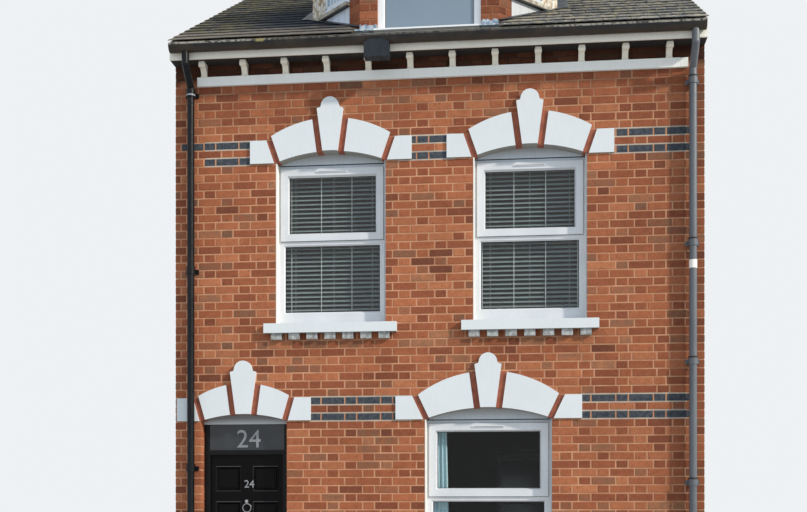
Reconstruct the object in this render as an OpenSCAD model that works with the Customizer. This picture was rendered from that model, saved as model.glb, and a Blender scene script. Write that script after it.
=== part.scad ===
// Mid-terrace brick house with painted arched heads and a canted bay dormer in its roof.
// Millimetres. X runs along the street to the right, Y from the street to the rear, Z is up.
// The origin is on the ground at the middle of the plan.

/* [House] */
// Width over both party walls
house_w = 4920; // [4880:10:5400]
// Depth from the front face to the rear face
house_d = 7600; // [6800:50:9000]
// Thickness of the outer walls and the party walls
wall_t = 225; // [215:5:300]
// Height of one brick course with its joint
course = 75.6; // [74:0.2:79]
// Joint between two bricks
joint = 10; // [6:1:14]

/* [Levels] */
// Courses from the ground to the springing of the ground-floor heads
ground_courses = 32; // [30:1:36]
// Courses from that springing to the springing of the first-floor heads
storey_courses = 32; // [32:1:37]
// Courses from a first-floor sill to its springing
upper_window_courses = 20; // [17:1:21]
// Courses from the ground-floor sill to its springing
ground_window_courses = 21; // [17:1:24]
// Height of the ground floor above the ground
ground_floor_h = 150; // [120:10:200]
// Thickness of the two upper floors
floor_t = 220; // [180:10:240]
// First floor's surface below its window sills
first_floor_drop = 576; // [540:10:640]
// Attic floor's surface above the springing of the first-floor heads
attic_floor_rise = 560; // [480:10:640]

/* [First-floor windows] */
// Middle of the left window
left_window_x = -968; // [-1000:4:-900]
// Middle of the right window
right_window_x = 888; // [800:4:960]
// Width of each opening
upper_window_w = 1040; // [940:10:1080]
// Rise of the arch over the opening
upper_rise = 98; // [80:2:130]
// Height of the ring of stones at the crown
upper_ring = 314; // [290:2:340]
// Radius of the ring's outer edge
upper_ring_r = 1088; // [1000:8:1300]
// Sideways lean of a skewback's inner edge
upper_lean = 75; // [60:1:90]

/* [Ground-floor window] */
// Middle of the window
ground_window_x = 505; // [460:5:600]
// Width of the opening
ground_window_w = 1170; // [1080:10:1230]
// Rise of the arch over the opening
ground_rise = 106; // [90:2:140]
// Height of the ring of stones at the crown
ground_ring = 336; // [310:2:360]
// Radius of the ring's outer edge
ground_ring_r = 1087; // [1060:8:1300]
// Sideways lean of a skewback's inner edge
ground_lean = 103; // [85:1:115]

/* [Door opening] */
// Middle of the doorway from the left party wall's outer face
door_inset = 662; // [660:2:700]
// Width of the opening
door_w = 824; // [780:4:828]
// Rise of the arch over the opening
door_rise = 63; // [50:1:90]
// Height of the ring of stones at the crown
door_ring = 291; // [270:2:320]
// Radius of the ring's outer edge
door_ring_r = 871; // [840:8:1000]
// Sideways lean of a skewback's inner edge
door_lean = 62; // [50:1:75]
// Depth from the wall face to the door frame
door_recess = 106; // [80:2:110]

/* [Painted stones] */
// Depth of the stones in the wall
stone_bed = 110; // [90:5:140]
// Stones in front of the wall face
stone_proud = 18; // [10:1:30]
// Keystones in front of the wall face
key_proud = 40; // [30:1:60]
// Half width of a keystone at the crown
key_foot = 71; // [60:1:80]
// Half width of a keystone at its shoulders
key_shoulder = 124; // [112:1:130]
// Half width of a keystone's round top
key_top_r = 85; // [70:1:95]
// Straight part between the shoulders and the round top
key_neck = 21; // [10:1:30]
// Height of a keystone above the crown of the opening
key_h = 502; // [470:2:520]
// Width of the brick strips between the stones
strip_w = 60; // [45:1:70]
// Skewback's foot beyond the edge of the opening
skew_set = 15; // [10:1:25]
// Width of a skewback at its top
skew_w = 155; // [120:5:165]
// Courses beside a skewback
skew_courses = 3; // [2:1:4]

/* [Sills] */
// Height of a sill
sill_h = 90; // [70:5:110]
// Sill in front of the wall face
sill_proud = 60; // [45:5:90]
// Sill beyond each side of the opening
sill_ear = 107; // [80:1:112]
// Number of dentils under a sill
dentils = 7; // [5:1:7]
// Width of a dentil
dentil_w = 102; // [80:2:120]
// Distance between the middles of two dentils
dentil_pitch = 170; // [150:2:176]
// Height of a dentil
dentil_h = 60; // [45:5:80]
// Dentil in front of the wall face
dentil_proud = 40; // [25:5:50]

/* [Window joinery] */
// Depth from the wall face to the window frames
window_recess = 100; // [70:5:104]
// Depth of a window frame
frame_d = 70; // [55:5:70]
// Side of a window frame
frame_side = 56; // [45:1:70]
// Head of a window frame
frame_head = 30; // [25:1:50]
// Bottom rail of a window frame
frame_foot = 113; // [80:1:130]
// Rail between the two lights
transom_h = 60; // [50:1:75]
// Height of the upper light's opening
upper_light_h = 632; // [560:4:640]
// Frame's top below the springing
frame_drop = 28; // [15:1:40]
// Width of a sash rail
sash_w = 65; // [55:1:75]
// Sash over the frame around the upper light
sash_lap = 25; // [15:1:28]
// Thickness of a sash in front of the frame
sash_d = 18; // [12:1:30]
// Thickness of a pane
glass_t = 6; // [4:1:10]
// Depth from a frame's face to its panes
glass_set = 20; // [10:1:30]
// Thickness of the panel between a frame and its arch
infill_t = 20; // [12:1:30]
// Thickness of the boards that line the jambs
lining_t = 12; // [8:1:20]

/* [Rear] */
// Middle of a rear window from the middle of the house
rear_window_x = 930; // [850:5:1000]

/* [Blinds and curtain] */
// Distance between two slats of a blind
slat_pitch = 42; // [38:1:50]
// Width of a slat
slat_w = 44; // [40:1:46]
// Thickness of a slat
slat_t = 3; // [2:0.5:4]
// Tilt of the slats
slat_tilt = 35; // [20:1:45]
// Height of a blind's head rail
head_rail_h = 40; // [30:2:50]
// Depth of a blind's head rail
head_rail_d = 24; // [20:1:30]
// Slats short of each jamb
slat_gap = 8; // [4:1:12]
// Width of a ladder tape
ladder_w = 6; // [4:1:10]
// Radius of the curtain rail
rail_r = 10; // [8:1:14]
// Thickness of the hanging curtain
curtain_t = 36; // [24:2:40]
// Width of the drawn-back curtain
curtain_w = 140; // [100:10:200]

/* [Door] */
// Width of the door frame's posts
post_w = 45; // [40:1:60]
// Running gap around the door leaf
door_gap = 6; // [5:0.5:8]
// Thickness of the door leaf
leaf_t = 44; // [40:1:54]
// Depth from the frame's face to the door leaf
leaf_set = 24; // [16:1:30]
// Bar over the door leaf
bar_h = 28; // [25:1:60]
// Height of the light over the bar
fanlight_h = 245; // [200:5:280]
// Head of the door frame over that light
door_head_h = 25; // [20:1:40]
// Stop that the leaf closes on
stop_w = 15; // [12:1:20]
// Stile of the door leaf
stile_w = 66; // [60:1:90]
// Middle stile of the door leaf
muntin_w = 136; // [110:2:150]
// Rail at the top of the leaf
top_rail_h = 128; // [100:2:140]
// Height of the small top panels
top_panel_h = 219; // [180:3:240]
// Rail under the top panels
frieze_rail_h = 118; // [90:2:130]
// Height of the tall panels
tall_panel_h = 620; // [560:5:640]
// Rail at the lock
lock_rail_h = 200; // [150:5:230]
// Height of the bottom panels
low_panel_h = 430; // [380:5:450]
// Depth of the panels
panel_d = 12; // [8:1:14]
// Distance from a panel's edge to its raised field
field_set = 28; // [20:1:40]
// Foot of a panel's raised field below the leaf's face
field_d = 4; // [2:1:8]
// Outer radius of the ring knocker
knocker_r = 47; // [36:1:55]
// Width of the knocker's ring
knocker_w = 14; // [10:1:18]
// Radius of the knocker's boss
boss_r = 16; // [12:1:20]
// Width of the letter plate
plate_w = 236; // [200:4:260]
// Height of the letter plate
plate_h = 76; // [60:2:90]
// Thickness of the letter plate
plate_t = 6; // [4:1:8]
// Radius of the door knob
knob_r = 27; // [22:1:30]
// Middle of the hinges at the top and bottom from the leaf's ends
hinge_end = 160; // [120:10:200]
// Hinge pin's radius
pin_r = 4; // [3:0.5:5]
// Hinge knuckle's radius
knuckle_r = 8; // [7.5:0.5:10]
// Height of a hinge
hinge_h = 100; // [76:4:120]
// Step in front of the door
step_out = 240; // [180:10:280]

/* [Eaves] */
// Foot of the eaves board above the springing of the first-floor heads
eaves_rise = 746; // [700:2:820]
// Height of the board on the wall
board_h = 85; // [60:5:110]
// Thickness of the board on the wall
board_t = 30; // [18:2:40]
// Height of the eaves brackets
bracket_h = 116; // [100:2:140]
// Width of a bracket
bracket_w = 54; // [40:2:70]
// Reach of a bracket
bracket_reach = 120; // [100:5:140]
// Thickness of a bracket at its foot
bracket_foot = 32; // [24:2:50]
// Distance between two brackets
bracket_pitch = 392; // [370:2:420]
// First bracket's middle from the end of the board
bracket_end = 68; // [50:2:90]
// End of the board from the middle of a rainwater pipe
board_gap = 108; // [90:2:130]
// Reach of the soffit to the fascia's face
eaves_reach = 180; // [170:5:240]
// Thickness of the fascia
fascia_t = 22; // [18:1:30]
// Height of the fascia
fascia_h = 169; // [160:1:200]
// Thickness of the soffit board
soffit_t = 18; // [12:1:22]
// Width of the gutter
gutter_w = 110; // [100:2:130]
// Height of the gutter
gutter_h = 76; // [70:2:110]
// Gutter's bottom above the soffit
gutter_lift = 41; // [36:1:44]
// Thickness of the gutter's metal
gutter_t = 4; // [3:0.5:6]
// Radius of a rainwater pipe
pipe_r = 34; // [32:1:40]
// Middle of a rainwater pipe from the party wall's outer face
pipe_inset = 112; // [100:1:120]
// Left pipe nearer the middle of the house than the right pipe
left_pipe_in = 56; // [40:1:60]
// Middle of a rainwater pipe in front of the wall face
pipe_out = 64; // [60:1:90]
// Height of the pipe's top above the springing of the first-floor heads
pipe_top = 722; // [640:5:725]
// Heights of the left pipe's collars
left_collars = [1971, 3832, 5500]; // [100:1:5500]
// Heights of the right pipe's collars
right_collars = [1827, 2919, 3987, 5446]; // [100:1:5500]
// Half the width of a collar's ears
ear_w = 62; // [54:2:74]
// Height of a pipe collar
collar_h = 62; // [50:2:80]
// Width of the lidded box under the gutter
box_w = 229; // [180:5:260]
// Height of that box below the gutter
box_h = 131; // [100:5:150]
// Middle of that box
box_x = -498; // [-560:2:-440]

/* [Roof] */
// Pitch of the roof
pitch = 30; // [27:0.5:33]
// Thickness of the roof deck
deck_t = 100; // [80:5:105]
// Thickness of the layer of slates
slate_t = 28; // [20:1:36]
// Slates beyond the fascia
slate_over = 55; // [30:5:70]
// Leg of the ridge tiles
ridge_leg = 160; // [120:5:200]
// Thickness of the ridge tiles
ridge_t = 18; // [14:1:26]
// Depth of the chimney stack
stack_d = 920; // [760:20:1100]
// Height of the chimney stack above the ridge
stack_h = 1000; // [700:20:1300]
// Height of a chimney pot
pot_h = 420; // [300:20:600]
// Radius of a chimney pot
pot_r = 95; // [80:5:105]

/* [Bay dormer] */
// Middle of the bay
bay_x = -50; // [-90:5:60]
// Front of the bay behind the wall face
bay_set = 80; // [60:5:110]
// Width of the bay's front
bay_front_w = 1310; // [1260:10:1400]
// Run of each canted side
bay_cant = 550; // [480:10:600]
// Width of the front window
bay_window_w = 970; // [900:10:1000]
// Thickness of the brick piers
bay_pier_t = 125; // [120:5:130]
// Run of a pier around the corner
bay_return = 115; // [100:5:130]
// Thickness of the canted sides and cheeks
bay_side_t = 100; // [90:5:110]
// Bottom of the front window above the fascia's top
bay_window_rise = 107; // [96:1:125]
// Height of the front window
bay_window_h = 1138; // [1060:10:1250]
// Front edge of the apron above the fascia's top
apron_lip = 15; // [10:1:25]
// Underside of the canted sides' sills above the fascia's top
side_sill_rise = 415; // [400:5:430]
// Height of the canted sides' sills
side_sill_h = 44; // [36:2:50]
// Canted sides' sills beyond the sides
side_sill_out = 40; // [30:5:60]
// Front post of a canted side
side_post_w = 70; // [60:5:90]
// Boarded back post of a canted side
side_board_w = 210; // [160:10:240]
// Width of the front window's frame
bay_frame_w = 56; // [45:1:70]
// Bottom rail of the front window
bay_foot_h = 40; // [30:2:60]
// Front window's frame behind the bay's front
bay_frame_set = 30; // [20:2:50]
// Underside of the front window's transom below the window's top
bay_transom_drop = 400; // [340:10:460]
// Canted sides' rail over their sills
side_rail_h = 50; // [40:2:70]
// Canted sides' rail under the fascia
side_head_h = 60; // [40:2:80]
// Height of the bay's fascia
bay_fascia_h = 150; // [120:10:180]
// Bay's fascia beyond its sides
bay_fascia_out = 60; // [40:5:80]
// Bay's roof beyond its sides
bay_roof_out = 120; // [100:5:150]
// Edge of the bay's roof
bay_eaves_t = 30; // [20:2:40]
// Ridge of the bay's roof below the slates at the house's ridge
bay_ridge_drop = 140; // [120:5:300]

/* [Hidden] */
$fn = 96;

// overlap of solids that are joined, and cut past a face
eps = 1;
// clearance between sloping faces that seat on each other
seat = 0.2;
// clearance between a hinge pin and its knuckle
pin_gap = 0.3;
// thickness of a hinge's leaves
hinge_t = 3;

front_y = -house_d / 2;
inner_x = house_w / 2 - wall_t;
inner_y = house_d / 2 - wall_t;
ground_spring = ground_courses * course;
upper_spring = ground_spring + storey_courses * course;
upper_sill = upper_spring - upper_window_courses * course;
ground_sill = ground_spring - ground_window_courses * course;
first_floor_z = upper_sill - first_floor_drop;
attic_floor_z = upper_spring + attic_floor_rise;
skew_h = skew_courses * course - joint;
key_shoulder_h = key_h - key_top_r - key_neck;

soffit_z = upper_spring + eaves_rise + board_h + bracket_h;
fascia_top = soffit_z + fascia_h;
fascia_y = front_y - eaves_reach;
door_x = door_inset - house_w / 2;

// Heights of the roof's planes at a distance y from the ridge, measured upright
deck_v = deck_t / cos(pitch);
slate_v = slate_t / cos(pitch);
function deck_top(y) = fascia_top + (y - fascia_y) * tan(pitch);
function deck_under(y) = deck_top(y) - deck_v;
function wall_top(y) = deck_under(y) - seat;
function slate_top(y) = deck_top(y) + slate_v;
ridge_z = deck_top(0);

// sides of a full circle in the arches, which are large
arch_fn = 360;
// an arch springs from a little behind the edge of its opening
arch_set = 3;
// a keystone's neck is a little wider than its round top
neck_set = 3;

// A head is its opening's half width, rise, ring height, outer radius and skewback lean
UPPER = [upper_window_w / 2, upper_rise, upper_ring, upper_ring_r, upper_lean];
GROUND = [ground_window_w / 2, ground_rise, ground_ring, ground_ring_r, ground_lean];
DOOR = [door_w / 2, door_rise, door_ring, door_ring_r, door_lean];
function half(h) = h[0];
function rise(h) = h[1];
function inner_r(h) = (pow(h[0] + arch_set, 2) + h[1] * h[1]) / (2 * h[1]);
function outer_r(h) = h[3];
function crown(h) = h[1] + h[2];
function skew_foot(h) = h[0] + skew_set;
function skew_top(h) = skew_foot(h) + h[4];
function skew_slope(h) = h[4] / skew_h;
key_slope = (key_shoulder - key_foot) / key_shoulder_h;

// Outer side of a voussoir at a height above the springing
function outer_line(h, z) = skew_foot(h) - strip_w + skew_slope(h) * z;

brick = "#b0633f";
rear_brick = "#a85f3f";
paint = "#e6eaec";
strip = "#99482f";
board = "#d4d2c6";
black = "#1b1d20";
slate = "#5e5a55";

// Helpers that place outlines and mirror them

// an outline drawn in a wall's plane, pushed in from y by t
module in_wall(x, y, z, t) {
    translate([x, y + t, z]) rotate([90, 0, 0]) linear_extrude(t) children();
}

// a section drawn in Y and Z, run along X
module along_x(x0, x1) {
    translate([x0, 0, 0]) rotate([90, 0, 90]) linear_extrude(x1 - x0) children();
}

module box(low, high) {
    translate(low) cube(high - low);
}

// the children, and the same at the rear
module front_and_rear() {
    children();
    mirror([0, 1, 0]) children();
}

module both_sides(x = 0) {
    for (side = [0, 1]) translate([x, 0, 0]) mirror([side, 0, 0]) children();
}

// Outline of an opening with its arch, from down below the springing
module opening_2d(h, down) {
    translate([-half(h), -down]) square([2 * half(h), down]);
    intersection() {
        arch_disc_2d(h);
        translate([-half(h), -eps]) square([2 * half(h), rise(h) + 2 * eps]);
    }
}

module arch_disc_2d(h) {
    translate([0, rise(h) - inner_r(h)]) circle(inner_r(h), $fn = arch_fn);
}

module ring_disc_2d(h) {
    translate([0, crown(h) - outer_r(h)]) circle(outer_r(h), $fn = arch_fn);
}

module keystone_2d(h) {
    shoulder = rise(h) + key_shoulder_h;
    neck = key_top_r + neck_set;
    low = key_foot - key_slope * rise(h);
    difference() {
        union() {
            polygon([
                [-low, 0], [low, 0],
                [key_shoulder, shoulder], [neck, shoulder + key_neck / 2], [neck, shoulder + key_neck],
                [-neck, shoulder + key_neck], [-neck, shoulder + key_neck / 2], [-key_shoulder, shoulder],
            ]);
            translate([0, shoulder + key_neck]) circle(key_top_r);
        }
        arch_disc_2d(h);
    }
}

// Half width of the keystone's side line at a height above the springing
function key_line(h, z) = key_foot + key_slope * (z - rise(h));

module voussoir_2d(h) {
    top = crown(h);
    difference() {
        intersection() {
            polygon([
                [key_line(h, 0) + strip_w, 0], [outer_line(h, 0), 0],
                [outer_line(h, top), top], [key_line(h, top) + strip_w, top],
            ]);
            ring_disc_2d(h);
        }
        arch_disc_2d(h);
    }
}

module skewback_2d(h) {
    edge = skew_top(h) + skew_w;
    polygon([[skew_foot(h), 0], [edge, 0], [edge, skew_h], [skew_top(h), skew_h]]);
}

// Brick strips beside the keystone and beside the skewback
module strips_2d(h) {
    top = crown(h);
    difference() {
        intersection() {
            polygon([
                [key_line(h, 0), 0], [key_line(h, 0) + strip_w, 0],
                [key_line(h, top) + strip_w, top], [key_line(h, top), top],
            ]);
            ring_disc_2d(h);
        }
        arch_disc_2d(h);
    }
    difference() {
        polygon([
            [outer_line(h, 0), 0], [skew_foot(h), 0],
            [skew_top(h), skew_h], [outer_line(h, skew_h), skew_h],
        ]);
        arch_disc_2d(h);
    }
}

// The place that the stones and strips fill in the wall, with the arch's own opening
module head_pocket_2d(h) {
    edge = skew_top(h) + skew_w;
    top = crown(h);
    translate([-edge, 0]) square([2 * edge, skew_h]);
    intersection() {
        ring_disc_2d(h);
        polygon([
            [-outer_line(h, 0), 0], [outer_line(h, 0), 0],
            [outer_line(h, top), top], [-outer_line(h, top), top],
        ]);
    }
    keystone_2d(h);
}

// Walls: a band of wall with its openings, each [middle, springing, head, depth below the springing]

FRONT_UPPER = [[left_window_x, UPPER], [right_window_x, UPPER]];

// Cut of a window's opening and its sill's bed
module window_cut(x, spring, sill, h) {
    in_wall(x, front_y - eps, spring, wall_t + 2 * eps) opening_2d(h, spring - sill);
    sill_place(x, sill, h, 0);
}

// Place of a sill, to proud in front of the wall face
module sill_place(x, sill, h, proud) {
    reach = half(h) + sill_ear;
    box([x - reach, front_y - proud, sill - sill_h], [x + reach, front_y + window_recess + frame_d, sill]);
}

module head_pocket(x, spring, h) {
    in_wall(x, front_y - eps, spring, stone_bed + eps) head_pocket_2d(h);
}

module wall_band(x0, x1, z0, z1) {
    box([x0, front_y, z0], [x1, front_y + wall_t, z1]);
}

// The wall's top follows the underside of the roof deck
module wall_to_roof(z0) {
    back = front_y + wall_t;
    along_x(-house_w / 2, house_w / 2)
        polygon([[front_y, z0], [back, z0], [back, wall_top(back)], [front_y, wall_top(front_y)]]);
}

module ground_floor() {
    color("#8f8b84") box([-inner_x, -inner_y, 0], [inner_x, inner_y, ground_floor_h]);
}

module first_floor() {
    color("#a08560") box([-inner_x, -inner_y, first_floor_z - floor_t], [inner_x, inner_y, first_floor_z]);
}

module attic_floor() {
    color("#a08560") box([-inner_x, -inner_y, attic_floor_z - floor_t], [inner_x, inner_y, attic_floor_z]);
}

module party_wall(x0) {
    color(rear_brick) along_x(x0, x0 + wall_t) polygon([
        [-inner_y, 0], [inner_y, 0], [inner_y, wall_top(-inner_y)],
        [0, wall_top(0)], [-inner_y, wall_top(-inner_y)],
    ]);
}

module front_wall_left() {
    color(brick) wall_band(-house_w / 2, door_x - half(DOOR), 0, ground_spring);
}

module front_wall_ground() {
    color(brick) difference() {
        wall_band(door_x + half(DOOR), house_w / 2, 0, ground_spring);
        window_cut(ground_window_x, ground_spring, ground_sill, GROUND);
    }
}

module front_wall_middle() {
    color(brick) difference() {
        wall_band(-house_w / 2, house_w / 2, ground_spring, upper_spring);
        window_cut(ground_window_x, ground_spring, ground_sill, GROUND);
        in_wall(door_x, front_y - eps, ground_spring, wall_t + 2 * eps) opening_2d(DOOR, eps);
        head_pocket(ground_window_x, ground_spring, GROUND);
        head_pocket(door_x, ground_spring, DOOR);
        for (w = FRONT_UPPER) window_cut(w[0], upper_spring, upper_sill, w[1]);
    }
}

module front_wall_top() {
    color(brick) difference() {
        wall_to_roof(upper_spring);
        for (w = FRONT_UPPER) {
            window_cut(w[0], upper_spring, upper_sill, w[1]);
            head_pocket(w[0], upper_spring, w[1]);
        }
    }
}

// The rear wall is drawn as a front wall and mirrored to the rear
module rear_cuts() {
    for (side = [-1, 1]) {
        window_cut(side * rear_window_x, ground_spring, ground_sill, UPPER);
        window_cut(side * rear_window_x, upper_spring, upper_sill, UPPER);
    }
}

module rear_wall_ground() {
    color(rear_brick) mirror([0, 1, 0]) difference() {
        wall_band(-house_w / 2, house_w / 2, 0, ground_spring);
        rear_cuts();
    }
}

module rear_wall_middle() {
    color(rear_brick) mirror([0, 1, 0]) difference() {
        wall_band(-house_w / 2, house_w / 2, ground_spring, upper_spring);
        rear_cuts();
    }
}

module rear_wall_top() {
    color(rear_brick) mirror([0, 1, 0]) difference() {
        wall_to_roof(upper_spring);
        rear_cuts();
    }
}

// Painted stones of a head, bedded in the wall
module head_stones(x, spring, h) {
    color(paint) translate([x, 0, 0]) {
        in_wall(0, front_y - key_proud, spring, stone_bed + key_proud) keystone_2d(h);
        both_sides() in_wall(0, front_y - stone_proud, spring, stone_bed + stone_proud) {
            voussoir_2d(h);
            skewback_2d(h);
        }
    }
}

module head_strips() {
    color(strip) {
        for (w = FRONT_UPPER) strip_set(w[0], upper_spring, w[1]);
        strip_set(ground_window_x, ground_spring, GROUND);
        strip_set(door_x, ground_spring, DOOR);
    }
}

module strip_set(x, spring, h) {
    both_sides(x) in_wall(0, front_y, spring, stone_bed) strips_2d(h);
}

// Sills and dentils
module window_sill(x, sill, h) {
    color(paint) sill_place(x, sill, h, sill_proud);
}

module sill_dentils() {
    color(paint) {
        for (w = FRONT_UPPER) dentil_row(w[0], upper_sill);
        dentil_row(ground_window_x, ground_sill);
    }
}

module dentil_row(x, sill) {
    for (i = [0:dentils - 1]) {
        mid = x + (i - (dentils - 1) / 2) * dentil_pitch;
        box([mid - dentil_w / 2, front_y - dentil_proud, sill - sill_h - dentil_h],
            [mid + dentil_w / 2, front_y, sill - sill_h]);
    }
}

// Windows: x is the middle, and spring and sill are heights

// openings of the two lights in a frame, as [low z, high z]
function upper_light(spring) =
    let (top = spring - frame_drop - frame_head) [top - upper_light_h, top];
function lower_light(spring, sill) = [sill + frame_foot, upper_light(spring)[0] - transom_h];
function light_half(h) = half(h) - frame_side;

module window_frame(x, spring, sill, h) {
    y0 = front_y + window_recess;
    upper = upper_light(spring);
    lower = lower_light(spring, sill);
    w = light_half(h);
    difference() {
        box([x - half(h), y0, sill], [x + half(h), y0 + frame_d, spring - frame_drop]);
        for (light = [upper, lower])
            box([x - w, y0 - eps, light[0]], [x + w, y0 + frame_d + eps, light[1]]);
    }
}

module window_sash(x, spring, h) {
    y0 = front_y + window_recess - sash_d;
    light = upper_light(spring);
    w = light_half(h) + sash_lap;
    low = light[0] - sash_lap;
    high = light[1] + sash_lap;
    difference() {
        box([x - w, y0, low], [x + w, y0 + sash_d, high]);
        box([x - w + sash_w, y0 - eps, low + sash_w], [x + w - sash_w, y0 + sash_d + eps, high - sash_w]);
    }
}

module window_panes(x, spring, sill, h) {
    y0 = front_y + window_recess + glass_set;
    w = light_half(h);
    for (light = [upper_light(spring), lower_light(spring, sill)])
        box([x - w, y0, light[0]], [x + w, y0 + glass_t, light[1]]);
}

// panel between a frame's top and the arch
module head_infill(x, spring, h, y0) {
    in_wall(x, y0, spring, infill_t) difference() {
        opening_2d(h, frame_drop);
        translate([-2 * half(h), -frame_drop - half(h)]) square([4 * half(h), half(h)]);
    }
}

module jamb_lining(x, spring, sill, h) {
    both_sides(x) box([half(h) - lining_t, front_y, sill], [half(h), front_y + window_recess, spring]);
}

module window_sashes() {
    color("#eef1f3") {
        for (w = FRONT_UPPER) window_sash(w[0], upper_spring, w[1]);
        window_sash(ground_window_x, ground_spring, GROUND);
    }
}

module window_glass() {
    color("#5b6b74", 0.5) {
        for (w = FRONT_UPPER) window_panes(w[0], upper_spring, upper_sill, w[1]);
        window_panes(ground_window_x, ground_spring, ground_sill, GROUND);
    }
}

module head_infills() {
    window_y = front_y + window_recess;
    color("#9ea3a6") {
        for (w = FRONT_UPPER) head_infill(w[0], upper_spring, w[1], window_y);
        head_infill(ground_window_x, ground_spring, GROUND, window_y);
        rear_infills();
    }
}

// the rear windows' panels, drawn at the front and mirrored to the rear
module rear_infills() {
    mirror([0, 1, 0]) for (side = [-1, 1], spring = [ground_spring, upper_spring])
        head_infill(side * rear_window_x, spring, UPPER, front_y + window_recess);
}

module jamb_linings() {
    color("#f4f5f4") {
        for (w = FRONT_UPPER) jamb_lining(w[0], upper_spring, upper_sill, w[1]);
        jamb_lining(ground_window_x, ground_spring, ground_sill, GROUND);
    }
}

// blinds and the curtain hang in the middle of the space behind the frames
hang_y = front_y + (window_recess + frame_d + wall_t) / 2;
// outer ladders at this share of a blind's half width, and a ladder's thickness
ladder_place = 0.72;
ladder_t = 2;
// curtain from the jamb and above the sill
curtain_gap = 4;
curtain_lift = 20;

// A blind hangs behind the frame: slats on three ladders under a head rail
module blind(x, spring, sill, h) {
    y_mid = hang_y;
    rail_top = spring - frame_drop;
    first = rail_top - head_rail_h - slat_pitch / 2;
    count = floor((first - sill) / slat_pitch);
    w = half(h) - slat_gap;
    low = first - (count - 1) * slat_pitch - ladder_w;
    box([x - half(h), y_mid - head_rail_d / 2, rail_top - head_rail_h],
        [x + half(h), y_mid + head_rail_d / 2, rail_top]);
    for (i = [0:count - 1]) translate([x, y_mid, first - i * slat_pitch]) rotate([slat_tilt, 0, 0])
        cube([2 * w, slat_w, slat_t], center = true);
    for (ladder = [-1, 0, 1])
        box([x + ladder * ladder_place * w - ladder_w / 2, y_mid - ladder_t / 2, low],
            [x + ladder * ladder_place * w + ladder_w / 2, y_mid + ladder_t / 2, rail_top - head_rail_h]);
}

module blinds() {
    color("#c9cfcf") for (w = FRONT_UPPER) blind(w[0], upper_spring, upper_sill, w[1]);
}

rail_z = ground_spring - frame_drop - frame_head - 2 * rail_r;

module curtain_rail() {
    color("#8b8d8f") translate([ground_window_x - half(GROUND), hang_y, rail_z]) rotate([0, 90, 0])
        cylinder(r = rail_r, h = 2 * half(GROUND));
}

module curtain() {
    left = ground_window_x - half(GROUND) + curtain_gap;
    color("#9fb8bd") box([left, hang_y - curtain_t / 2, ground_sill + curtain_lift],
        [left + curtain_w, hang_y + curtain_t / 2, rail_z - rail_r]);
}

// Windows of the rear, drawn at the front and mirrored to the rear
module rear_set() {
    storeys = [[ground_spring, ground_sill], [upper_spring, upper_sill]];
    mirror([0, 1, 0]) for (side = [-1, 1], storey = storeys) {
        $x = side * rear_window_x;
        $spring = storey[0];
        $sill = storey[1];
        children();
    }
}

module rear_windows() {
    color("#eef1f3") rear_set() window_frame($x, $spring, $sill, UPPER);
}

module rear_sashes() {
    color("#eef1f3") rear_set() window_sash($x, $spring, UPPER);
}

module rear_glass() {
    color("#5b6b74", 0.5) rear_set() window_panes($x, $spring, $sill, UPPER);
}

module rear_sills() {
    color("#b9b3a6") rear_set() sill_place($x, $sill, UPPER, sill_proud);
}

// Door
door_y = front_y + door_recess;
leaf_y = door_y + leaf_set;
leaf_left = door_x - half(DOOR) + post_w + door_gap;
leaf_right = door_x + half(DOOR) - post_w - door_gap;
leaf_low = ground_floor_h + door_gap;
fanlight_top = ground_spring - door_head_h;
bar_low = fanlight_top - fanlight_h - bar_h;
leaf_high = bar_low - door_gap;
hinge_x = leaf_left - door_gap / 2;
hinge_y = leaf_y + leaf_t + knuckle_r;

module door_frame() {
    left = door_x - half(DOOR);
    right = door_x + half(DOOR);
    back = leaf_y + leaf_t;
    color(black) {
        difference() {
            box([left, door_y, ground_floor_h], [right, back, ground_spring]);
            box([left + post_w, door_y - eps, ground_floor_h - eps], [right - post_w, back + eps, bar_low]);
            box([left + post_w, door_y - eps, bar_low + bar_h], [right - post_w, back + eps, fanlight_top]);
        }
        // stop that the leaf closes against, in front of the leaf
        difference() {
            box([left + post_w, door_y, ground_floor_h], [right - post_w, leaf_y - door_gap, bar_low]);
            box([left + post_w + stop_w, door_y - eps, ground_floor_h - eps],
                [right - post_w - stop_w, leaf_y, bar_low - stop_w]);
        }
        in_wall(door_x, door_y, ground_spring, infill_t) opening_2d(DOOR, 0.01);
    }
}

// Panels of the leaf, as [low z, high z] from the top down
top_panels = [leaf_high - top_rail_h - top_panel_h, leaf_high - top_rail_h];
tall_panels = [top_panels[0] - frieze_rail_h - tall_panel_h, top_panels[0] - frieze_rail_h];
low_panels = [tall_panels[0] - lock_rail_h - low_panel_h, tall_panels[0] - lock_rail_h];

module door_leaf() {
    mid = (leaf_left + leaf_right) / 2;
    color(black) difference() {
        box([leaf_left, leaf_y, leaf_low], [leaf_right, leaf_y + leaf_t, leaf_high]);
        for (side = [[leaf_left + stile_w, mid - muntin_w / 2], [mid + muntin_w / 2, leaf_right - stile_w]],
             row = [top_panels, tall_panels, low_panels])
            panel_recess(side, row);
    }
}

// a sunk panel with a raised field
module panel_recess(side, row) {
    difference() {
        box([side[0], leaf_y - eps, row[0]], [side[1], leaf_y + panel_d, row[1]]);
        box([side[0] + field_set, leaf_y + field_d, row[0] + field_set],
            [side[1] - field_set, leaf_y + panel_d + eps, row[1] - field_set]);
    }
}

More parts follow.
